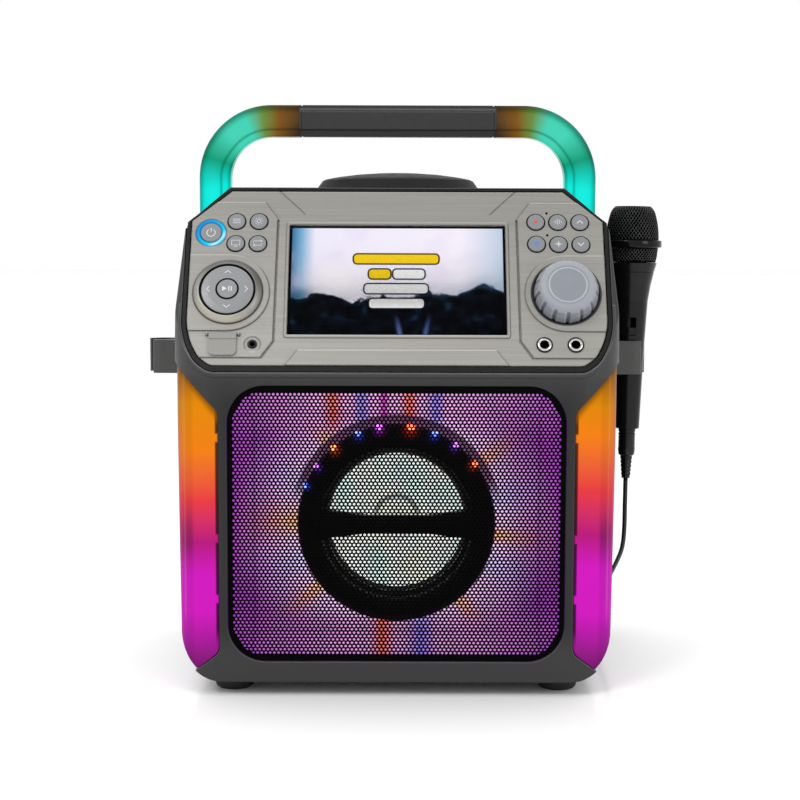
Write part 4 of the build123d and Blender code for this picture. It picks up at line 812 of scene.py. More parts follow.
def handle(name, side, hue):
    m = M(name)
    p = mm(m)
    x, y, z = m.xyz(p)
    a = m.math("SUBTRACT", m.math("MULTIPLY", x, float(side)), 93.2)
    b = m.math("SUBTRACT", z, 373.2)
    ang = m.math("MULTIPLY", m.math("ARCTAN2", b, a), 57.29578)
    c = m.ramp(m.math("DIVIDE", m.math("ADD", ang, 50.0), 182.0), spread(hue, -50, 132))
    # distance from the tube's middle line: round the bend, down the leg or along the top
    rad = m.math("SUBTRACT", m.math("SQRT", m.math("ADD", m.math("MULTIPLY", a, a), m.math("MULTIPLY", b, b))), 42.2)
    leg = m.math("SUBTRACT", a, 42.2)
    top = m.math("SUBTRACT", b, 42.2)
    low = m.math("LESS_THAN", b, 0.0)
    far = m.math("LESS_THAN", a, 0.0)
    d = m.math("ADD", m.math("MULTIPLY", leg, low), m.math("MULTIPLY", m.math("ADD", m.math("MULTIPLY", top, far), m.math("MULTIPLY", rad, m.math("SUBTRACT", 1.0, far))), m.math("SUBTRACT", 1.0, low)))
    # the core sits outside the middle of the legs, and a dark line runs along the inner side
    upright = m.mrange(ang, 40.0, 5.0, 0, 1)
    ds = m.math("SUBTRACT", d, m.math("MULTIPLY", upright, 1.6))
    ad = m.math("ABSOLUTE", ds)
    inner_line = gauss(m, ds, -6.6, 1.0)
    # painted shade towards the outer side of each tube and along its underside
    outer_shade = m.mrange(ds, 4.2, 10.2, 0, 1)
    under = m.mrange(ds, -10.4, -12.2, 0, 1)
    core = m.mrange(ad, 5.2, 0.0, 0.0, 1.0)
    c2 = m.mix(m.math("MULTIPLY", inner_line, 0.62), c, m.mix(1.0, c, (0.10, 0.30, 0.26), "MULTIPLY"))
    c2 = m.mix(m.math("MULTIPLY", outer_shade, 0.8), c2, m.mix(1.0, c, (0.10, 0.26, 0.22), "MULTIPLY"))
    c2 = m.mix(m.math("MULTIPLY", under, 0.5), c2, m.mix(1.0, c, (0.2, 0.3, 0.28), "MULTIPLY"))
    c2 = m.mix(m.math("MULTIPLY", core, 0.006), c2, (1.0, 1.0, 1.0))
    m.s(Base_Color=m.mix(0.985, c2, (0.003, 0.003, 0.003)), Emission_Color=c2, Emission_Strength=1.0)
    m.s(Roughness=m.mrange(m.noise(250, 2), 0.3, 0.7, 0.10, 0.16), Coat_Weight=0.04, Coat_Roughness=0.04, Specular_IOR_Level=0.01)
    m.s(Normal=m.bevel(0.0008))
    return m


mats["handle_l"] = handle("handle_glow_left", -1, HUE_L)
mats["handle_r"] = handle("handle_glow_right", 1, HUE_R)

# light pan: purple glow with coloured rays from the lamps round the ring
def rays(lo, hi, edge, field, beams):
    """Ramp stops for a plain field with soft coloured beams at chosen places."""
    s = [(lo, edge[0])]
    for at, half, hue in beams:
        for q, c in ((at - half, field), (at, hue), (at + half, field)):
            if lo < q < hi and q > s[-1][0] + 0.5:
                s.append((q, c))
    return s + [(hi, edge[1])]


PLUM, ROSE, PALE, BLUE, HOT, GOLD, SKY = (185, 95, 205), (245, 200, 240), (244, 228, 248), (150, 155, 255), (255, 130, 70), (255, 212, 115), (216, 228, 255)
TOP = rays(-119, 119, (PLUM, PLUM), ROSE, [(-46, 9, HOT), (-25, 7, BLUE), (-9, 5, MAGENTA), (9, 8, HOT), (28, 8, BLUE)])
SIDE = rays(-180, 180, (GOLD, GOLD), PALE, [(-159, 10, SKY), (-140, 6, GOLD), (-98, 7, HOT), (-75, 10, SKY), (-51, 6, GOLD), (-24, 10, SKY), (-7, 6, GOLD),
                                            (14, 10, SKY), (36, 6, GOLD), (62, 9, SKY), (82, 7, HOT), (113, 9, SKY), (130, 6, GOLD), (157, 10, SKY)])
BOTTOM = rays(-119, 119, (PLUM, PLUM), ROSE, [(-10, 10, HOT), (18, 12, BLUE)])
m = M("light_pan_glow")
p = mm(m)
x, y, z = m.xyz(p)
dz = m.math("SUBTRACT", z, 124.5)
r = m.math("SQRT", m.math("ADD", m.math("MULTIPLY", x, x), m.math("MULTIPLY", dz, dz)))
ang = m.math("MULTIPLY", m.math("ARCTAN2", dz, x), 57.29578)
xt = m.math("DIVIDE", m.math("ADD", x, 119.0), 238.0)
top = m.ramp(xt, spread(TOP, -119, 119))
bot = m.ramp(xt, spread(BOTTOM, -119, 119))
# a ramp holds 32 stops at most, so the rays round the ring are in two halves
lower = m.ramp(m.math("DIVIDE", m.math("ADD", ang, 180.0), 180.0), spread([q for q in SIDE if q[0] < 0] + [(0, (248, 222, 236))], -180, 0))
upper = m.ramp(m.math("DIVIDE", ang, 180.0), spread([(0, (248, 222, 236))] + [q for q in SIDE if q[0] > 0], 0, 180))
ray = m.mix(m.math("GREATER_THAN", ang, 0.0), lower, upper)
base = m.ramp(xt, spread([(-119, PLUM), (-60, (212, 130, 224)), (0, ROSE), (90, PLUM), (119, PLUM)], -119, 119))
tint = m.ramp(m.math("DIVIDE", z, 226.0), spread([(28, (255, 236, 255)), (70, (210, 196, 220)), (115, (252, 236, 250)), (226, (225, 205, 235))], 0, 226))
base = m.mix(0.8, base, tint, "MULTIPLY")
near = m.math("POWER", m.mrange(r, 118.0, 74.0, 0.0, 1.0, smooth=False), 1.25)
c = m.mix(near, base, ray)
c = m.mix(m.mrange(z, 182.0, 203.0, 0, 1), c, m.mix(1.0, top, (0.96, 0.93, 0.98), "MULTIPLY"))
c = m.mix(m.mrange(z, 66.0, 44.0, 0, 1), c, m.mix(1.0, bot, (0.82, 0.78, 0.84), "MULTIPLY"))
wave = m.noise(26.0, 2)
c = m.mix(m.mrange(wave, 0.35, 0.65, 0.0, 0.22), c, m.mix(1.0, c, lin(205, 175, 215), "MULTIPLY"))
# painted shade along the folds of the tray, a painted shadow above the ring, the fading corners and painted shade along
# the front rim
fold_shade = m.math("MAXIMUM", gauss(m, z, 203.6, 0.9), m.math("MAXIMUM", gauss(m, m.math("ABSOLUTE", x), 103.0, 0.9), m.math("MULTIPLY", gauss(m, z, 44.6, 0.9), 0.6)))
c = m.mix(m.math("MULTIPLY", fold_shade, 0.42), c, m.mix(1.0, c, lin(120, 90, 130), "MULTIPLY"))
over = m.math("SUBTRACT", r, m.math("MULTIPLY", m.math("DIVIDE", dz, r), 1.6))
ring_shadow = m.math("MULTIPLY", m.mrange(over, 77.6, 75.8, 0, 1), m.mrange(dz, 12.0, 34.0, 0, 1))
c = m.mix(m.math("MULTIPLY", ring_shadow, 0.93), c, lin(96, 62, 92))
cx_ = m.math("MAXIMUM", m.math("SUBTRACT", m.math("ABSOLUTE", x), 92.6), 0.0)
cz_ = m.math("MAXIMUM", m.math("SUBTRACT", m.math("ABSOLUTE", m.math("SUBTRACT", z, 126.7)), 71.4), 0.0)
edge = m.math("SQRT", m.math("ADD", m.math("MULTIPLY", cx_, cx_), m.math("MULTIPLY", cz_, cz_)))
c = m.mix(m.mrange(edge, 20.0, 26.8, 0.0, 0.62), c, lin(120, 20, 190))
front_rim_shade = m.mrange(y, -95.0, -98.0, 0.0, 0.9)
c = m.mix(front_rim_shade, c, lin(30, 10, 60))
c = m.mix(m.mrange(edge, 25.6, 26.3, 0.0, 1.0), c, (0.0, 0.0, 0.0))
facing = m.mrange(m.xyz(m.n("NewGeometry").outputs["True Normal"])[1], 0.30, 0.05, 0, 1)
m.s(Base_Color=m.mix(wave, lin(26, 18, 30), lin(34, 26, 38)), Roughness=m.mrange(wave, 0.3, 0.7, 0.35, 0.5), Emission_Color=m.mix(facing, (0.0, 0.0, 0.0), m.mix(1.0, c, (0.97, 0.75, 0.95), "MULTIPLY")), Emission_Strength=1.12, Specular_IOR_Level=0.05)
mats["pan"] = m

# cone: coated paper, faintly ribbed, glowing with painted light as if lit from in front, with a ring of painted shade
# round the dust cap
m = M("cone_paper")
p = mm(m)
x, y, z = m.xyz(p)
dz = m.math("SUBTRACT", z, 124.5)
r = m.math("SQRT", m.math("ADD", m.math("MULTIPLY", x, x), m.math("MULTIPLY", dz, dz)))
fib = m.noise(260.0, 4, 0.65)
soft = m.noise(34.0, 2)
c = m.ramp(soft, [(0.32, lin(216, 236, 233)), (0.5, lin(240, 243, 238)), (0.66, lin(243, 240, 222))])
shade = m.math("MULTIPLY", gauss(m, r, 15.4, 2.0), m.mrange(dz, -14.0, 10.0, 0.35, 1.0))
c = m.mix(m.math("MULTIPLY", shade, 0.8), c, lin(24, 46, 58))
c = m.mix(m.mrange(r, 14.0, 6.0, 0.0, 0.22), c, lin(150, 165, 170))
c = m.mix(m.mrange(fib, 0.3, 0.7, 0.0, 0.14), c, lin(180, 196, 196))
m.s(Base_Color=m.mix(1.0, c, (0.72, 0.72, 0.72), "MULTIPLY"), Roughness=m.mrange(fib, 0.3, 0.7, 0.5, 0.7), Emission_Color=c, Emission_Strength=0.98)
m.s(Normal=m.bump(fib, 0.3, 0.0002))
mats["cone"] = m

# lcd: a lit stage picture of the builder's own, with plain bars where a song's words would be
m = M("lcd_picture")
u, v, w, p = panel_uvw(m)
U = m.math("DIVIDE", m.math("ADD", u, 78.3), 156.6)
D = m.math("DIVIDE", m.math("SUBTRACT", 107.2, v), 87.4)
xy = m.n("CombineXYZ")
m.put(xy.inputs[0], U)
m.put(xy.inputs[1], m.math("MULTIPLY", D, 0.558))
uv = xy.outputs[0]
n1 = m.noise(5.0, 3, 0.5, uv)
n2 = m.noise(14.0, 3, 0.6, uv)
sky = m.ramp(U, [(0.0, lin(20, 85, 135)), (0.06, lin(125, 180, 215)), (0.12, lin(240, 235, 250)), (0.80, lin(246, 240, 252)), (1.0, lin(185, 205, 225))])
glow = m.math("MULTIPLY", gauss(m, U, 0.22, 0.13), gauss(m, D, 0.50, 0.14))
sky = m.mix(m.mrange(n1, 0.46, 0.66, 0.0, 0.30), sky, lin(222, 206, 242))
sky = m.mix(glow, sky, lin(255, 250, 255))
edge1 = m.math("MULTIPLY_ADD", m.math("SUBTRACT", n2, 0.5), 0.13, m.math("MULTIPLY_ADD", m.math("SINE", m.math("MULTIPLY_ADD", U, 26.0, 0.6)), 0.028, 0.635))
hill = m.math("ADD", edge1, m.math("SUBTRACT", m.math("MULTIPLY", gauss(m, U, 0.36, 0.10), 0.03), m.math("MULTIPLY", m.mrange(U, 0.60, 0.90, 0.0, 1.0), 0.07)))
over_ = m.math("SUBTRACT", D, hill)
haze = m.mrange(over_, -0.13, -0.01, 0.0, 1.0)
sky = m.mix(m.math("MULTIPLY", haze, m.mrange(U, 0.50, 0.85, 0.08, 0.34)), sky, lin(128, 168, 194))
sky = m.mix(m.math("MULTIPLY", haze, m.mrange(U, 0.16, 0.02, 0.0, 0.8)), sky, lin(20, 96, 130))
crowd = m.mrange(over_, -0.010, 0.012, 0, 1)
ground = m.ramp(m.noise(16.0, 2, 0.5, uv), [(0.44, lin(2, 3, 6)), (0.60, lin(6, 12, 20)), (0.74, lin(16, 40, 58))])
rimlit = m.math("MULTIPLY", m.mrange(over_, 0.05, 0.0, 0.0, 1.0), m.mrange(U, 0.45, 0.75, 0.25, 0.8))
ground = m.mix(rimlit, ground, lin(30, 66, 92))
beam = m.math("ADD", m.math("MULTIPLY", gauss(m, m.math("SUBTRACT", U, m.math("MULTIPLY", m.math("SUBTRACT", D, 1.0), 0.10)), 0.515, 0.010), 0.8),
              m.math("MULTIPLY", gauss(m, m.math("ADD", U, m.math("MULTIPLY", m.math("SUBTRACT", D, 1.0), 0.12)), 0.625, 0.010), 0.6))
ground = m.mix(m.math("MULTIPLY", beam, m.mrange(D, 1.02, 0.78, 0.5, 0.0)), ground, lin(120, 150, 235))
pic = m.mix(crowd, sky, ground)
BARS = [(0.300, 0.690, 0.300, (244, 205, 30)), (0.370, 0.468, 0.438, (244, 205, 30)), (0.482, 0.625, 0.438, (240, 240, 240)),
        (0.350, 0.640, 0.572, (240, 240, 240)), (0.372, 0.622, 0.705, (240, 240, 240))]
for a, b, yc, col in BARS:
    cc = ((a + b) / 2, yc * 0.558, 0)
    hs = ((b - a) / 2 - 0.016, 0.034 * 0.558 - 0.012, 9.0)
    q = m.vmath("MAXIMUM", m.vmath("SUBTRACT", m.vmath("ABSOLUTE", m.vmath("SUBTRACT", uv, cc)), hs), (0, 0, 0))
    dd = m.vmath("LENGTH", q, out=1)
    pic = m.mix(m.mrange(dd, 0.0255, 0.0205, 0, 1), pic, lin(12, 10, 16))
    pic = m.mix(m.mrange(dd, 0.0170, 0.0140, 0, 1), pic, lin(*col))
inside = m.math("MULTIPLY", m.mrange(m.math("ABSOLUTE", m.math("SUBTRACT", U, 0.5)), 0.4900, 0.4860, 0, 1), m.mrange(m.math("ABSOLUTE", m.math("SUBTRACT", D, 0.5)), 0.4860, 0.4800, 0, 1))
face = m.math("GREATER_THAN", w, -2.35)
lit = m.math("MULTIPLY", inside, face)
pic = m.mix(lit, (0.002, 0.002, 0.002), pic)
m.s(Base_Color=m.ramp(m.noise(80, 2), [(0.3, lin(3, 3, 3)), (0.7, lin(6, 6, 6))]), Roughness=0.4, Emission_Color=pic, Emission_Strength=1.0, Specular_IOR_Level=0.0)
mats["lcd"] = m

m = M("screen_cover")
m.s(Base_Color=(1, 1, 1), Roughness=0.03, Transmission_Weight=1.0, IOR=1.06, Specular_IOR_Level=0.5)
m.s(Normal=m.bump(m.noise(12.0, 2), 0.02, 0.0002))
mats["window"] = m

# foil of the grille, powder coated
m = M("grille_paint")
gn = m.noise(700.0, 2, 0.6)
m.s(Base_Color=lin(2, 2, 2), Roughness=m.mrange(gn, 0.3, 0.7, 0.5, 0.66), Specular_IOR_Level=0.03)
m.s(Normal=m.bump(gn, 0.12, 0.00005))
mats["grille"] = m

# microphone
mats["mic"] = plastic("mic_enamel", lin(9, 9, 9), rough=0.2, grain=0.06, scale=1500, var=0.06, bevel=0.0003, spec=0.24)
mats["micgloss"] = plastic("mic_gloss_black", lin(4, 4, 4), rough=0.12, grain=0.03, scale=900, var=0.1, bevel=0.0004, spec=0.2)
mats["wire"] = metal("mic_wire", (0.07, 0.07, 0.071), rough=0.22, bevel=None)
mats["foam"] = plastic("mic_foam", lin(2, 2, 2), rough=0.9, grain=0.8, scale=500, var=0.4, bevel=None, spec=0.0)
mats["connector"] = plastic("mic_connector", lin(10, 10, 10), rough=0.22, grain=0.08, scale=1500, var=0.1, bevel=0.0004, spec=0.3)


def glow(name, col, strength):
    """A lit lens: its light is mottled between the colour and nearly white."""
    m = M(name)
    white = tuple(min(1.0, c * 0.9 + 0.1) for c in lin(*col))
    m.s(Base_Color=m.mix(m.noise(500, 2), (0.01, 0.01, 0.01), (0.02, 0.02, 0.02)), Roughness=m.mrange(m.noise(500, 2), 0.3, 0.7, 0.2, 0.3), Specular_IOR_Level=0.1, Emission_Color=m.ramp(m.noise(900, 2), [(0.35, lin(*col)), (0.7, white)]), Emission_Strength=strength)
    return m


GIVE = {
    "front_cabinet": "cabinet", "rear_cabinet": "rear", "housing_screws": "steel", "control_panel": "panel", "panel_bezel": "bezel", "screen_window": "window", "lcd_module": "lcd",
    "power_light_ring": "ring_light", "power_button": "key", "play_button": "dpad", "dpad": "dpad", "dpad_pivot": "inner", "key_board": "board", "volume_encoder": "steel", "volume_knob": "knob",
    "usb_port": "steel", "port_cover": "portgrey", "light_pan": "pan", "speaker_trim_ring": "trim", "led_boards": "board", "woofer_frame": "zinc", "woofer_cone": "cone",
    "side_lamp_left": "lamp_l", "side_lamp_right": "lamp_r", "handle_light_left": "handle_l", "handle_light_right": "handle_r", "handle_grip": "grip", "disc_tray": "inner",
    "mechanism_chassis": "zinc", "drive_motors": "steel", "lead_screw": "steel", "pickup_sled": "inner", "turntable_hub": "inner", "disc_lid": "lid", "mic_clip_left": "clip", "mic_clip_right": "clip",
    "mic_body": "mic", "mic_switch": "black", "mic_connector": "connector", "rear_jack_plate": "black", "main_board": "board", "battery_pack": "wrap", "feet": "rubber", "input_jacks": "black",
}
for n, o in NODES.items():
    if o.hide_render:
        continue
    give(o, mats[GIVE.get(n, "key" if n.startswith("key_") else "inner")])

give(cord, mats["cord"])
give(tie, mats["rubber"])
give(plug_tip, mats["chrome"])
give(plug_rings, mats["black"])
give(plug_barrel, mats["black"])
give(plug_boot, mats["rubber"])


def add(o, body, mat):
    give(o, mats[mat] if isinstance(mat, str) else mat)
    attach(o, body)
    return o


# ---------------------------------------------------------------- speaker grille
GX, GZ0, GZ1, GRAD = 119.72, 28.2, 225.3, 26.6
PX_, PZ_ = 3.0, 2.44
HOLE = 0.95


def inside_grille(x, z, g):
    ax = abs(x) - (GX - g - max(GRAD - g, 1.0))
    az = abs(z - (GZ0 + GZ1) / 2) - ((GZ1 - GZ0) / 2 - g - max(GRAD - g, 1.0))
    if ax <= 0 or az <= 0:
        return abs(x) <= GX - g and abs(z - (GZ0 + GZ1) / 2) <= (GZ1 - GZ0) / 2 - g
    return math.hypot(ax, az) <= max(GRAD - g, 1.0)


def grille(name, z_from, z_to, first, last):
    """Sheet with round holes in a brick lattice, between two rows; the lowest and highest carry the plain border."""
    bm = bmesh.new()
    cache = {}
    YF, YB = -98.6, -97.8

    def vert(x, y, z):
        key = (round(x * 1000), round(y * 100), round(z * 1000))
        if key not in cache:
            cache[key] = bm.verts.new(V(x, y, z))
        return cache[key]

    rows = range(first, last)
    for j in rows:
        zc = 126.75 + j * PZ_
        off = PX_ / 2 if j % 2 else 0.0
        for i in range(-42, 43):
            xc = i * PX_ + off
            if not inside_grille(xc, zc, 1.9):
                continue
            hole = inside_grille(xc, zc, 3.7)
            hx, hz = PX_ / 2, PZ_ / 2
            outer = [(xc - hx, zc - hz), (xc, zc - hz), (xc + hx, zc - hz), (xc + hx, zc + hz), (xc, zc + hz), (xc - hx, zc + hz)]
            if not hole:
                for y, flip in ((YF, False), (YB, True)):
                    q = [vert(a, y, b) for a, b in outer]
                    bm.faces.new(q[::-1] if flip else q)
                continue
            outer8 = [outer[0], outer[1], outer[2], (xc + hx, zc), outer[3], outer[4], outer[5], (xc - hx, zc)]
            ang8 = [-135, -90, -45, 0, 45, 90, 135, 180]
            ring = [(xc + HOLE * math.cos(math.radians(t)), zc + HOLE * math.sin(math.radians(t))) for t in ang8]
            # points half way up the upright sides aren't shared by the rows above and below
            for y, flip in ((YF, False), (YB, True)):
                for k in range(8):
                    k2 = (k + 1) % 8
                    q = [vert(*[outer8[k][0], y, outer8[k][1]]), vert(outer8[k2][0], y, outer8[k2][1]), vert(ring[k2][0], y, ring[k2][1]), vert(ring[k][0], y, ring[k][1])]
                    bm.faces.new(q[::-1] if flip else q)
            for k in range(8):
                k2 = (k + 1) % 8
                bm.faces.new([vert(ring[k][0], YF, ring[k][1]), vert(ring[k2][0], YF, ring[k2][1]), vert(ring[k2][0], YB, ring[k2][1]), vert(ring[k][0], YB, ring[k][1])])
    # close the outline: every edge with one face joins front to back
    for e in [e for e in bm.edges if len(e.link_faces) == 1]:
        a, b = e.verts
        ka, kb = a.co, b.co
        if abs(ka.y - kb.y) > 1e-7 or abs(ka.y - V(0, YF, 0).y) > 1e-7:
            continue
        xa, za, xb, zb = ka.x * 1000 + OX, ka.z * 1000 + OZ, kb.x * 1000 + OX, kb.z * 1000 + OZ
        qa, qb = vert(xa, YB, za), vert(xb, YB, zb)
        try:
            bm.faces.new([a, b, qb, qa])
        except ValueError:
            pass
    bmesh.ops.recalc_face_normals(bm, faces=bm.faces)
    me = bpy.data.meshes.new(name)
    uv = bm.loops.layers.uv.new("OFBake")
    yf = V(0, YF, 0).y
    for f in bm.faces:
        back = 0.5 if f.normal.y > 0.5 else 0.0
        for lp in f.loops:
            c = lp.vert.co
            lp[uv].uv = (back + 0.01 + (c.x * 1000 + OX + 120 + (c.y - yf) * 600) / 240 * 0.47, 0.01 + (c.z * 1000 + OZ - 26 + (c.y - yf) * 600) / 202 * 0.97)
    bm.to_mesh(me)
    bm.free()
    o = bpy.data.objects.new(name, me)
    bpy.context.scene.collection.objects.link(o)
    return o


g_lo = grille("grille_lower", GZ0, 126, -41, 0)
g_hi = grille("grille_upper", 126, GZ1, 0, 42)
bl, br = [], []
outl = rrect(0, (GZ0 + GZ1) / 2, 2 * GX, GZ1 - GZ0, GRAD, 12)
inl = rrect(0, (GZ0 + GZ1) / 2, 2 * GX - 7.0, GZ1 - GZ0 - 7.0, GRAD - 3.5, 12)
vs, fs = [], []
k = len(outl)
for y in (-98.75, -97.7):
    vs += [V(a, y, b) for a, b in outl] + [V(a, y, b) for a, b in inl]
for i in range(k):
    j = (i + 1) % k
    fs += [[i, j, k + j, k + i], [2 * k + i, 2 * k + j, 3 * k + j, 3 * k + i], [i, j, 2 * k + j, 2 * k + i], [k + i, k + j, 3 * k + j, 3 * k + i]]
border = recalc(mesh("grille_border", vs, fs, smooth=False))
for o in (g_lo, g_hi, border):
    add(o, "cabinet", "grille")
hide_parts("speaker_grille")

# ---------------------------------------------------------------- woofer surround, lamps round the ring
SIDE_PROFILE = [(49.2, -63.75), (49.8, -65.0), (50.8, -67.2), (52.6, -68.8), (54.8, -68.9), (56.4, -67.9), (57.2, -66.9), (57.2, -66.2),
                (56.1, -66.9), (54.6, -67.8), (52.8, -67.6), (51.5, -66.3), (50.4, -63.9), (49.7, -62.7)]
surround = lathe("woofer_surround", smooth_prof(SIDE_PROFILE, 3), V(0, 0, 124.5), (0, 1, 0), (1, 0, 0), 96)
add(surround, "cone", "rubber")


def highlight_arc(name, a0, a1, r, y, rad, n=60):
    pts_ = [V(r * math.cos(math.radians(a0 + (a1 - a0) * i / n)), y, 124.5 + r * math.sin(math.radians(a0 + (a1 - a0) * i / n))) for i in range(n + 1)]
    return tube(name, pts_, rad / 1000, 8)


# painted highlight: a thin steel arc along the lower roll of the surround stands in for its highlight
add(highlight_arc("surround_highlight_arc", 196, 338, 51.7, -68.5, 0.28), "cone", "steel")

LEDS = [(81.7, (255, 60, 12), 2.9, "red"), (100.2, (215, 40, 255), 2.3, "violet"), (113.0, (60, 80, 255), 2.2, "blue"), (129.5, (255, 96, 22), 2.3, "orange"), (144.0, (130, 50, 255), 1.8, "violet"),
        (157.0, (60, 80, 255), 1.7, "blue"), (67.3, (60, 80, 255), 2.2, "blue"), (53.6, (130, 50, 255), 2.0, "violet"), (38.0, (255, 70, 18), 2.2, "red")]
HUES = {"red": ((255, 84, 20), 5.0), "violet": ((215, 90, 255), 3.6), "blue": ((90, 120, 255), 3.6), "orange": ((255, 120, 40), 4.4)}
for hue, (col, power) in HUES.items():
    parts = []
    for a, _, size, h in LEDS:
        if h != hue:
            continue
        t = math.radians(a)
        out = Vector((math.cos(t), 0, math.sin(t)))
        ax = (out * 0.75 + Vector((0, -1, 0)) * 0.66).normalized()
        base_ = V(71.0 * math.cos(t), -82.2, 124.5 + 71.0 * math.sin(t))
        dome = [(0, 0.0), (size, 0.0), (size, 0.7), (size * 0.93, 1.15), (size * 0.75, 1.55), (size * 0.45, 1.85), (0, 1.95)]
        parts.append(lathe(f"led_{hue}_{int(a)}", dome, base_, ax, Vector((-math.sin(t), 0, math.cos(t))), 16, closed=False, autosmooth=60))
    add(join(f"ring_led_{hue}", parts), "cabinet", glow(f"led_light_{hue}", col, power))

# light that the lamps throw on the ring below them
m = mats["trim"]
lx, _, lz = m.xyz(mm(m))
shine = None
for a, col, size, _ in LEDS:
    t = math.radians(a)
    gx, gz = 69.6 * math.cos(t), 124.5 + 69.6 * math.sin(t)
    wdt = size * 1.35
    ex, ez = m.math("DIVIDE", m.math("SUBTRACT", lx, gx), wdt), m.math("DIVIDE", m.math("SUBTRACT", lz, gz), wdt)
    d2 = m.math("ADD", m.math("MULTIPLY", ex, ex), m.math("MULTIPLY", ez, ez))
    blob = m.mix(m.math("EXPONENT", m.math("MULTIPLY", d2, -1.0)), (0.0, 0.0, 0.0), tuple(q * 0.6 for q in lin(*col)))
    shine = blob if shine is None else m.mix(1.0, shine, blob, "ADD")
m.s(Emission_Color=shine, Emission_Strength=1.0)

# ---------------------------------------------------------------- marks on keys
PRINT = 0.09


def marks(name, body, mat, w, polys=(), lines=(), at=(0, 0)):
    """One piece from closed polygons and from lines (points, width, closed), all about a point on the panel."""
    parts = []
    for i, q in enumerate(polys):
        parts.append(prism(f"{name}_p{i}", [(at[0] + a, at[1] + b) for a, b in q], P, w - 0.04, w + PRINT))
    for i, (q, width, closed) in enumerate(lines):
        parts.append(ribbon(f"{name}_l{i}", [(at[0] + a, at[1] + b) for a, b in q], width, P, w - 0.04, w + PRINT, closed))
    return add(join(name, parts), body, mat)


KW = 2.1
circle = lambda r_, n=20, x0=0.0, y0=0.0: arc(x0, y0, r_, 0, 360 - 360 / n, n - 1)
bar = lambda w_, h_, x0=0.0, y0=0.0: [(x0 - w_ / 2, y0 - h_ / 2), (x0 + w_ / 2, y0 - h_ / 2), (x0 + w_ / 2, y0 + h_ / 2), (x0 - w_ / 2, y0 + h_ / 2)]
marks("mark_function", "key_function_cap", "faint", KW, [bar(5.6, 0.55, 0, 1.5), bar(5.6, 0.55), bar(5.6, 0.55, 0, -1.5)], at=(-116.9, 109.3))
marks("mark_lights", "key_lights_cap", "faint", KW, [], [(circle(1.45), 0.45, True)] + [([(2.1 * math.cos(t), 2.1 * math.sin(t)), (3.1 * math.cos(t), 3.1 * math.sin(t))], 0.45, False) for t in [k * math.pi / 4 for k in range(8)]], at=(-100.7, 109.3))
marks("mark_monitor", "key_monitor_cap", "faint", KW, [bar(2.6, 0.5, 0, -2.7)], [([(-3, -1.6), (3, -1.6), (3, 2.2), (-3, 2.2)], 0.45, True)], at=(-117.0, 91.4))
marks("mark_repeat", "key_repeat_cap", "faint", KW, [[(2.0, 2.9), (3.5, 1.75), (2.0, 0.6)], [(-2.0, -2.9), (-3.5, -1.75), (-2.0, -0.6)]],
      [([(-3.0, 0.1), (-3.0, 1.3), (-2.5, 1.75), (2.2, 1.75)], 0.45, False), ([(3.0, -0.1), (3.0, -1.3), (2.5, -1.75), (-2.2, -1.75)], 0.45, False)], at=(-101.0, 91.4))
marks("mark_record", "key_record_cap", "redprint", KW, [circle(1.25)], at=(100.7, 109.4))
marks("mark_voice", "key_voice_cap", "faint", KW, [bar(0.5, h_, x_, 0) for x_, h_ in ((-2.6, 1.4), (-1.3, 3.2), (0, 4.6), (1.3, 3.2), (2.6, 1.4))], at=(116.6, 109.3))
marks("mark_mic_up", "key_mic_up_cap", "white", KW, [], [([(-2.1, -1.1), (0, 1.2), (2.1, -1.1)], 0.6, False)], at=(132.7, 109.2))
marks("mark_mic_down", "key_mic_down_cap", "white", KW, [], [([(-2.1, 1.1), (0, -1.2), (2.1, 1.1)], 0.6, False)], at=(132.9, 91.3))
marks("mark_wireless", "key_wireless_cap", "blueprint", KW, [circle(0.7, 16, 0, -1.9)], [(arc(0, -1.9, 2.0, 45, 135, 8), 0.62, False), (arc(0, -1.9, 3.4, 45, 135, 10), 0.62, False)], at=(100.8, 91.6))
marks("mark_effects", "key_effects_cap", "faint", KW, [[(0, 3.0), (0.65, 0.65), (3.0, 0), (0.65, -0.65), (0, -3.0), (-0.65, -0.65), (-3.0, 0), (-0.65, 0.65)]], at=(116.7, 91.4))
marks("mark_power", "power_key", "white", 2.0, [], [(arc(0, -0.2, 3.0, 125, 415, 26), 0.55, False), ([(0, 0.6), (0, 3.6)], 0.6, False)], at=(-135.2, 100.0))
marks("mark_play", "play_key", "white", 7.7, [[(-3.5, 2.0), (-0.2, 0), (-3.5, -2.0)], bar(0.75, 3.8, 1.3, 0), bar(0.75, 3.8, 3.0, 0)], at=(-121.1, 52.4))
arrows = []
for dx_, dy_, q in ((0, 13.4, [(-2.3, -0.9), (0, 1.1), (2.3, -0.9)]), (0, -13.4, [(-2.3, 0.9), (0, -1.1), (2.3, 0.9)]), (-13.4, 0, [(0.9, -2.3), (-1.1, 0), (0.9, 2.3)]), (13.4, 0, [(-0.9, -2.3), (1.1, 0), (-0.9, 2.3)])):
    arrows.append(([(a + dx_, b + dy_) for a, b in q], 0.5, False))
marks("mark_arrows", "dpad_rocker", "white", 7.12, [], arrows, at=(-121.1, 52.4))

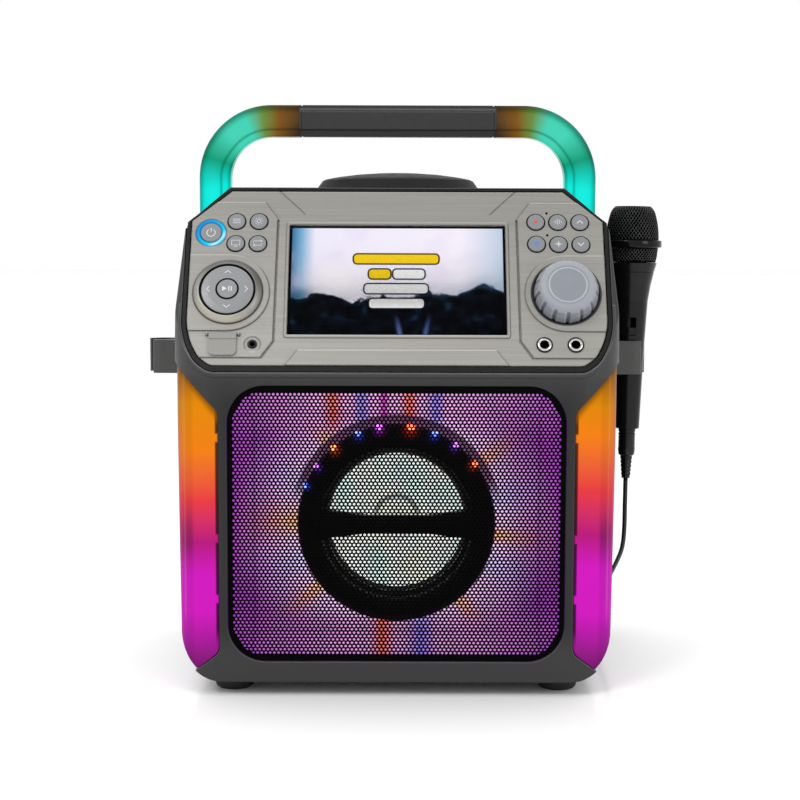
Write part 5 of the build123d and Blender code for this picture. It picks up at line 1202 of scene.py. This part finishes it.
# black rings of painted shade that fill the gap round each key
PN = (0, -CS, SN)
gap_shade_rings = []
for k, (a, b) in enumerate([(-116.9, 109.3), (-100.7, 109.3), (-117.0, 91.4), (-101.0, 91.4), (100.7, 109.4), (116.6, 109.3), (132.7, 109.2), (100.8, 91.6), (116.7, 91.4), (132.9, 91.3)]):
    gap_shade_rings.append(lathe(f"gap_shade_ring{k}", [(6.12, -0.6), (6.12, 0.86), (6.25, 1.06), (6.75, 1.10), (6.95, 0.98), (6.95, 0.86), (6.58, 0.86), (6.58, -0.6)], P(a, b, 0), PN, (1, 0, 0), 48))
add(join("key_gap_shade_rings", gap_shade_rings), "cabinet", "void")

# small indicator lenses beside the right-hand keys
lens = join("indicator_lenses", [lathe(f"lens{k}", [(0, -0.6), (0.95, -0.6), (0.95, 0.95), (0.75, 1.2), (0.4, 1.32), (0, 1.36)], P(108.8, b, 0), (0, -CS, SN), (1, 0, 0), 20, closed=False) for k, b in enumerate((116.9, 99.0))])
add(lens, "cabinet", "void")

# metal rims of the sockets
PN = (0, -CS, SN)
rims = [lathe(f"rim{k}", [(3.25, 1.2), (3.25, 1.95), (3.45, 2.2), (4.3, 2.25), (4.75, 2.0), (4.9, 1.85), (4.9, 1.2)], P(a, b, 0), PN, (1, 0, 0), 48) for k, (a, b) in enumerate(((104.3, 12.2), (126.4, 12.2)))]
rim_line = (lathe("rim_line", [(1.85, 0.9), (1.85, 1.35), (2.0, 1.5), (2.8, 1.5), (3.05, 1.35), (3.1, 0.9)], P(-102.3, 12.2, 0), PN, (1, 0, 0), 40))
add(join("socket_rims", rims), "cabinet", "chrome")
add(rim_line, "cabinet", "black")

# ---------------------------------------------------------------- microphone
LEAN = math.radians(0.65)
M0 = V(180.9, 30, 238.1)
MAX = Vector((math.sin(LEAN), 0, math.cos(LEAN)))
MX = Vector((math.cos(LEAN), 0, -math.sin(LEAN)))


def mic_lathe(name, prof, seg=72, closed=True, autosmooth=35, wave=None):
    return lathe(name, [(r_, z_ - 238.1) for r_, z_ in prof], M0, MAX, MX, seg, closed, autosmooth, wave)


HEAD = [(18.3, 311.3), (19.3, 316.0), (20.0, 322.8), (20.3, 328.4), (20.0, 335.5), (19.2, 341.5), (18.1, 346.2), (17.1, 349.7), (15.8, 352.2), (14.4, 353.8), (13.2, 354.4)]


def head_r(z):
    for (r0, z0), (r1, z1) in zip(HEAD, HEAD[1:]):
        if z0 <= z <= z1:
            return r0 + (r1 - r0) * (z - z0) / (z1 - z0)
    return HEAD[-1][0]


core = mic_lathe("mic_foam_core", [(0, 311.4), (17.2, 311.4)] + [(r_ - 1.0, z_ - (0.4 if z_ > 354 else 0)) for r_, z_ in HEAD[1:]] + [(0, 353.9)], 64)
add(core, "microphone", "foam")
band = mic_lathe("mic_head_band", [(20.1, 322.9), (22.1, 322.9), (22.6, 323.3), (22.7, 323.8), (22.7, 327.6), (22.5, 328.1), (22.0, 328.4), (20.1, 328.4)], 96)
add(band, "microphone", "micgloss")
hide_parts("mic_head")


def strand(z0, z1, turn, phase, way, n, rad=0.31):
    pts_ = []
    for i in range(n + 1):
        z = z0 + (z1 - z0) * i / n
        a = phase + way * turn * i / n
        # the wires pass over and under each other
        r_ = head_r(z) - 0.30 + 0.10 * way
        pts_.append(M0 + MAX * ((z - 238.1) / 1000) + MX * (r_ * math.cos(a) / 1000) + Vector((0, r_ * math.sin(a) / 1000, 0)))
    return pts_


def wires(name, z0, z1, turn, count, n, rad=0.22):
    vs_, fs_ = [], []
    for way in (-1, 1):
        for k in range(count):
            o = tube("w", strand(z0, z1, turn, 2 * math.pi * k / count, way, n), rad / 1000, 5)
            base = len(vs_)
            vs_ += [tuple(v_.co) for v_ in o.data.vertices]
            fs_ += [[base + i for i in p_.vertices] for p_ in o.data.polygons]
            me_ = o.data
            bpy.data.objects.remove(o)
            bpy.data.meshes.remove(me_)
    return mesh(name, vs_, fs_)


add(wires("mic_mesh_dome", 328.2, 354.3, 0.95, 46, 16), "microphone", "wire")
add(wires("mic_mesh_lower", 311.4, 323.1, 0.50, 46, 5), "microphone", "wire")
vs_, fs_ = [], []
for way in range(2):
    for k in range(-9, 10):
        c0 = k * 1.45
        half = math.sqrt(max(13.6 ** 2 - c0 ** 2, 0.5))
        pts_ = []
        for i in range(7):
            s_ = -half + 2 * half * i / 6
            a, b = (c0, s_) if way else (s_, c0)
            r_ = math.hypot(a, b)
            pts_.append(M0 + MAX * ((354.55 - 0.0018 * r_ * r_ - 0.12 * way - 238.1) / 1000) + MX * (a / 1000) + Vector((0, b / 1000, 0)))
        o = tube("w", pts_, 0.00024, 5)
        base = len(vs_)
        vs_ += [tuple(v_.co) for v_ in o.data.vertices]
        fs_ += [[base + i for i in p_.vertices] for p_ in o.data.polygons]
        bpy.data.objects.remove(o)
add(mesh("mic_mesh_top", vs_, fs_), "microphone", "wire")

conn = [(0, 181.9), (6.2, 181.9), (6.6, 181.5), (6.6, 179.4), (6.2, 179.0), (6.2, 178.2), (6.6, 177.8)]
for k in range(6):
    z_ = 176.6 - k * 1.7
    conn += [(6.6, z_), (6.3, z_ - 0.35), (6.3, z_ - 0.85), (6.6, z_ - 1.2)]
conn += [(6.6, 164.6), (6.1, 161.3), (4.9, 160.4), (4.6, 160.0)]
for k in range(5):
    z_ = 159.4 - k * 3.2
    r_ = 4.65 - k * 0.24
    conn += [(r_, z_), (r_, z_ - 1.6), (r_ - 0.45, z_ - 1.9), (r_ - 0.48, z_ - 2.8)]
conn += [(3.4, 143.2), (3.2, 142.6), (1.9, 142.4), (0, 142.6)]
conn_o = mic_lathe("mic_connector_ribbed", conn, 56)
add(conn_o, "microphone", "connector")
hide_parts("mic_connector")

# ---------------------------------------------------------------- rear sockets
ylo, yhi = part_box("rear_jack_plate")
yr = yhi[1] * 1000 + OY
for (x_, col, nm) in ((-38.0, (222, 178, 32), "yellow"), (-22.0, (222, 222, 218), "white"), (-6.0, (186, 34, 34), "red")):
    ins = lathe(f"socket_insert_{nm}", [(1.75, yr - 6.0), (1.75, yr - 0.2), (1.95, yr + 0.05), (3.2, yr + 0.05), (3.4, yr - 0.2), (3.4, yr - 6.0)], V(x_, 0, 63), (0, 1, 0), (1, 0, 0), 36)
    add(ins, "cabinet", plastic(f"insert_{nm}", lin(*col), rough=0.4, grain=0.08, scale=900, var=0.05, bevel=0.0002))
    rim_ = lathe(f"socket_ring_{nm}", [(3.5, yr - 0.4), (3.5, yr + 0.1), (3.7, yr + 0.2), (4.1, yr + 0.2), (4.3, yr), (4.3, yr - 7.0), (4.12, yr - 7.0)], V(x_, 0, 63), (0, 1, 0), (1, 0, 0), 36)
    add(rim_, "cabinet", "chrome")
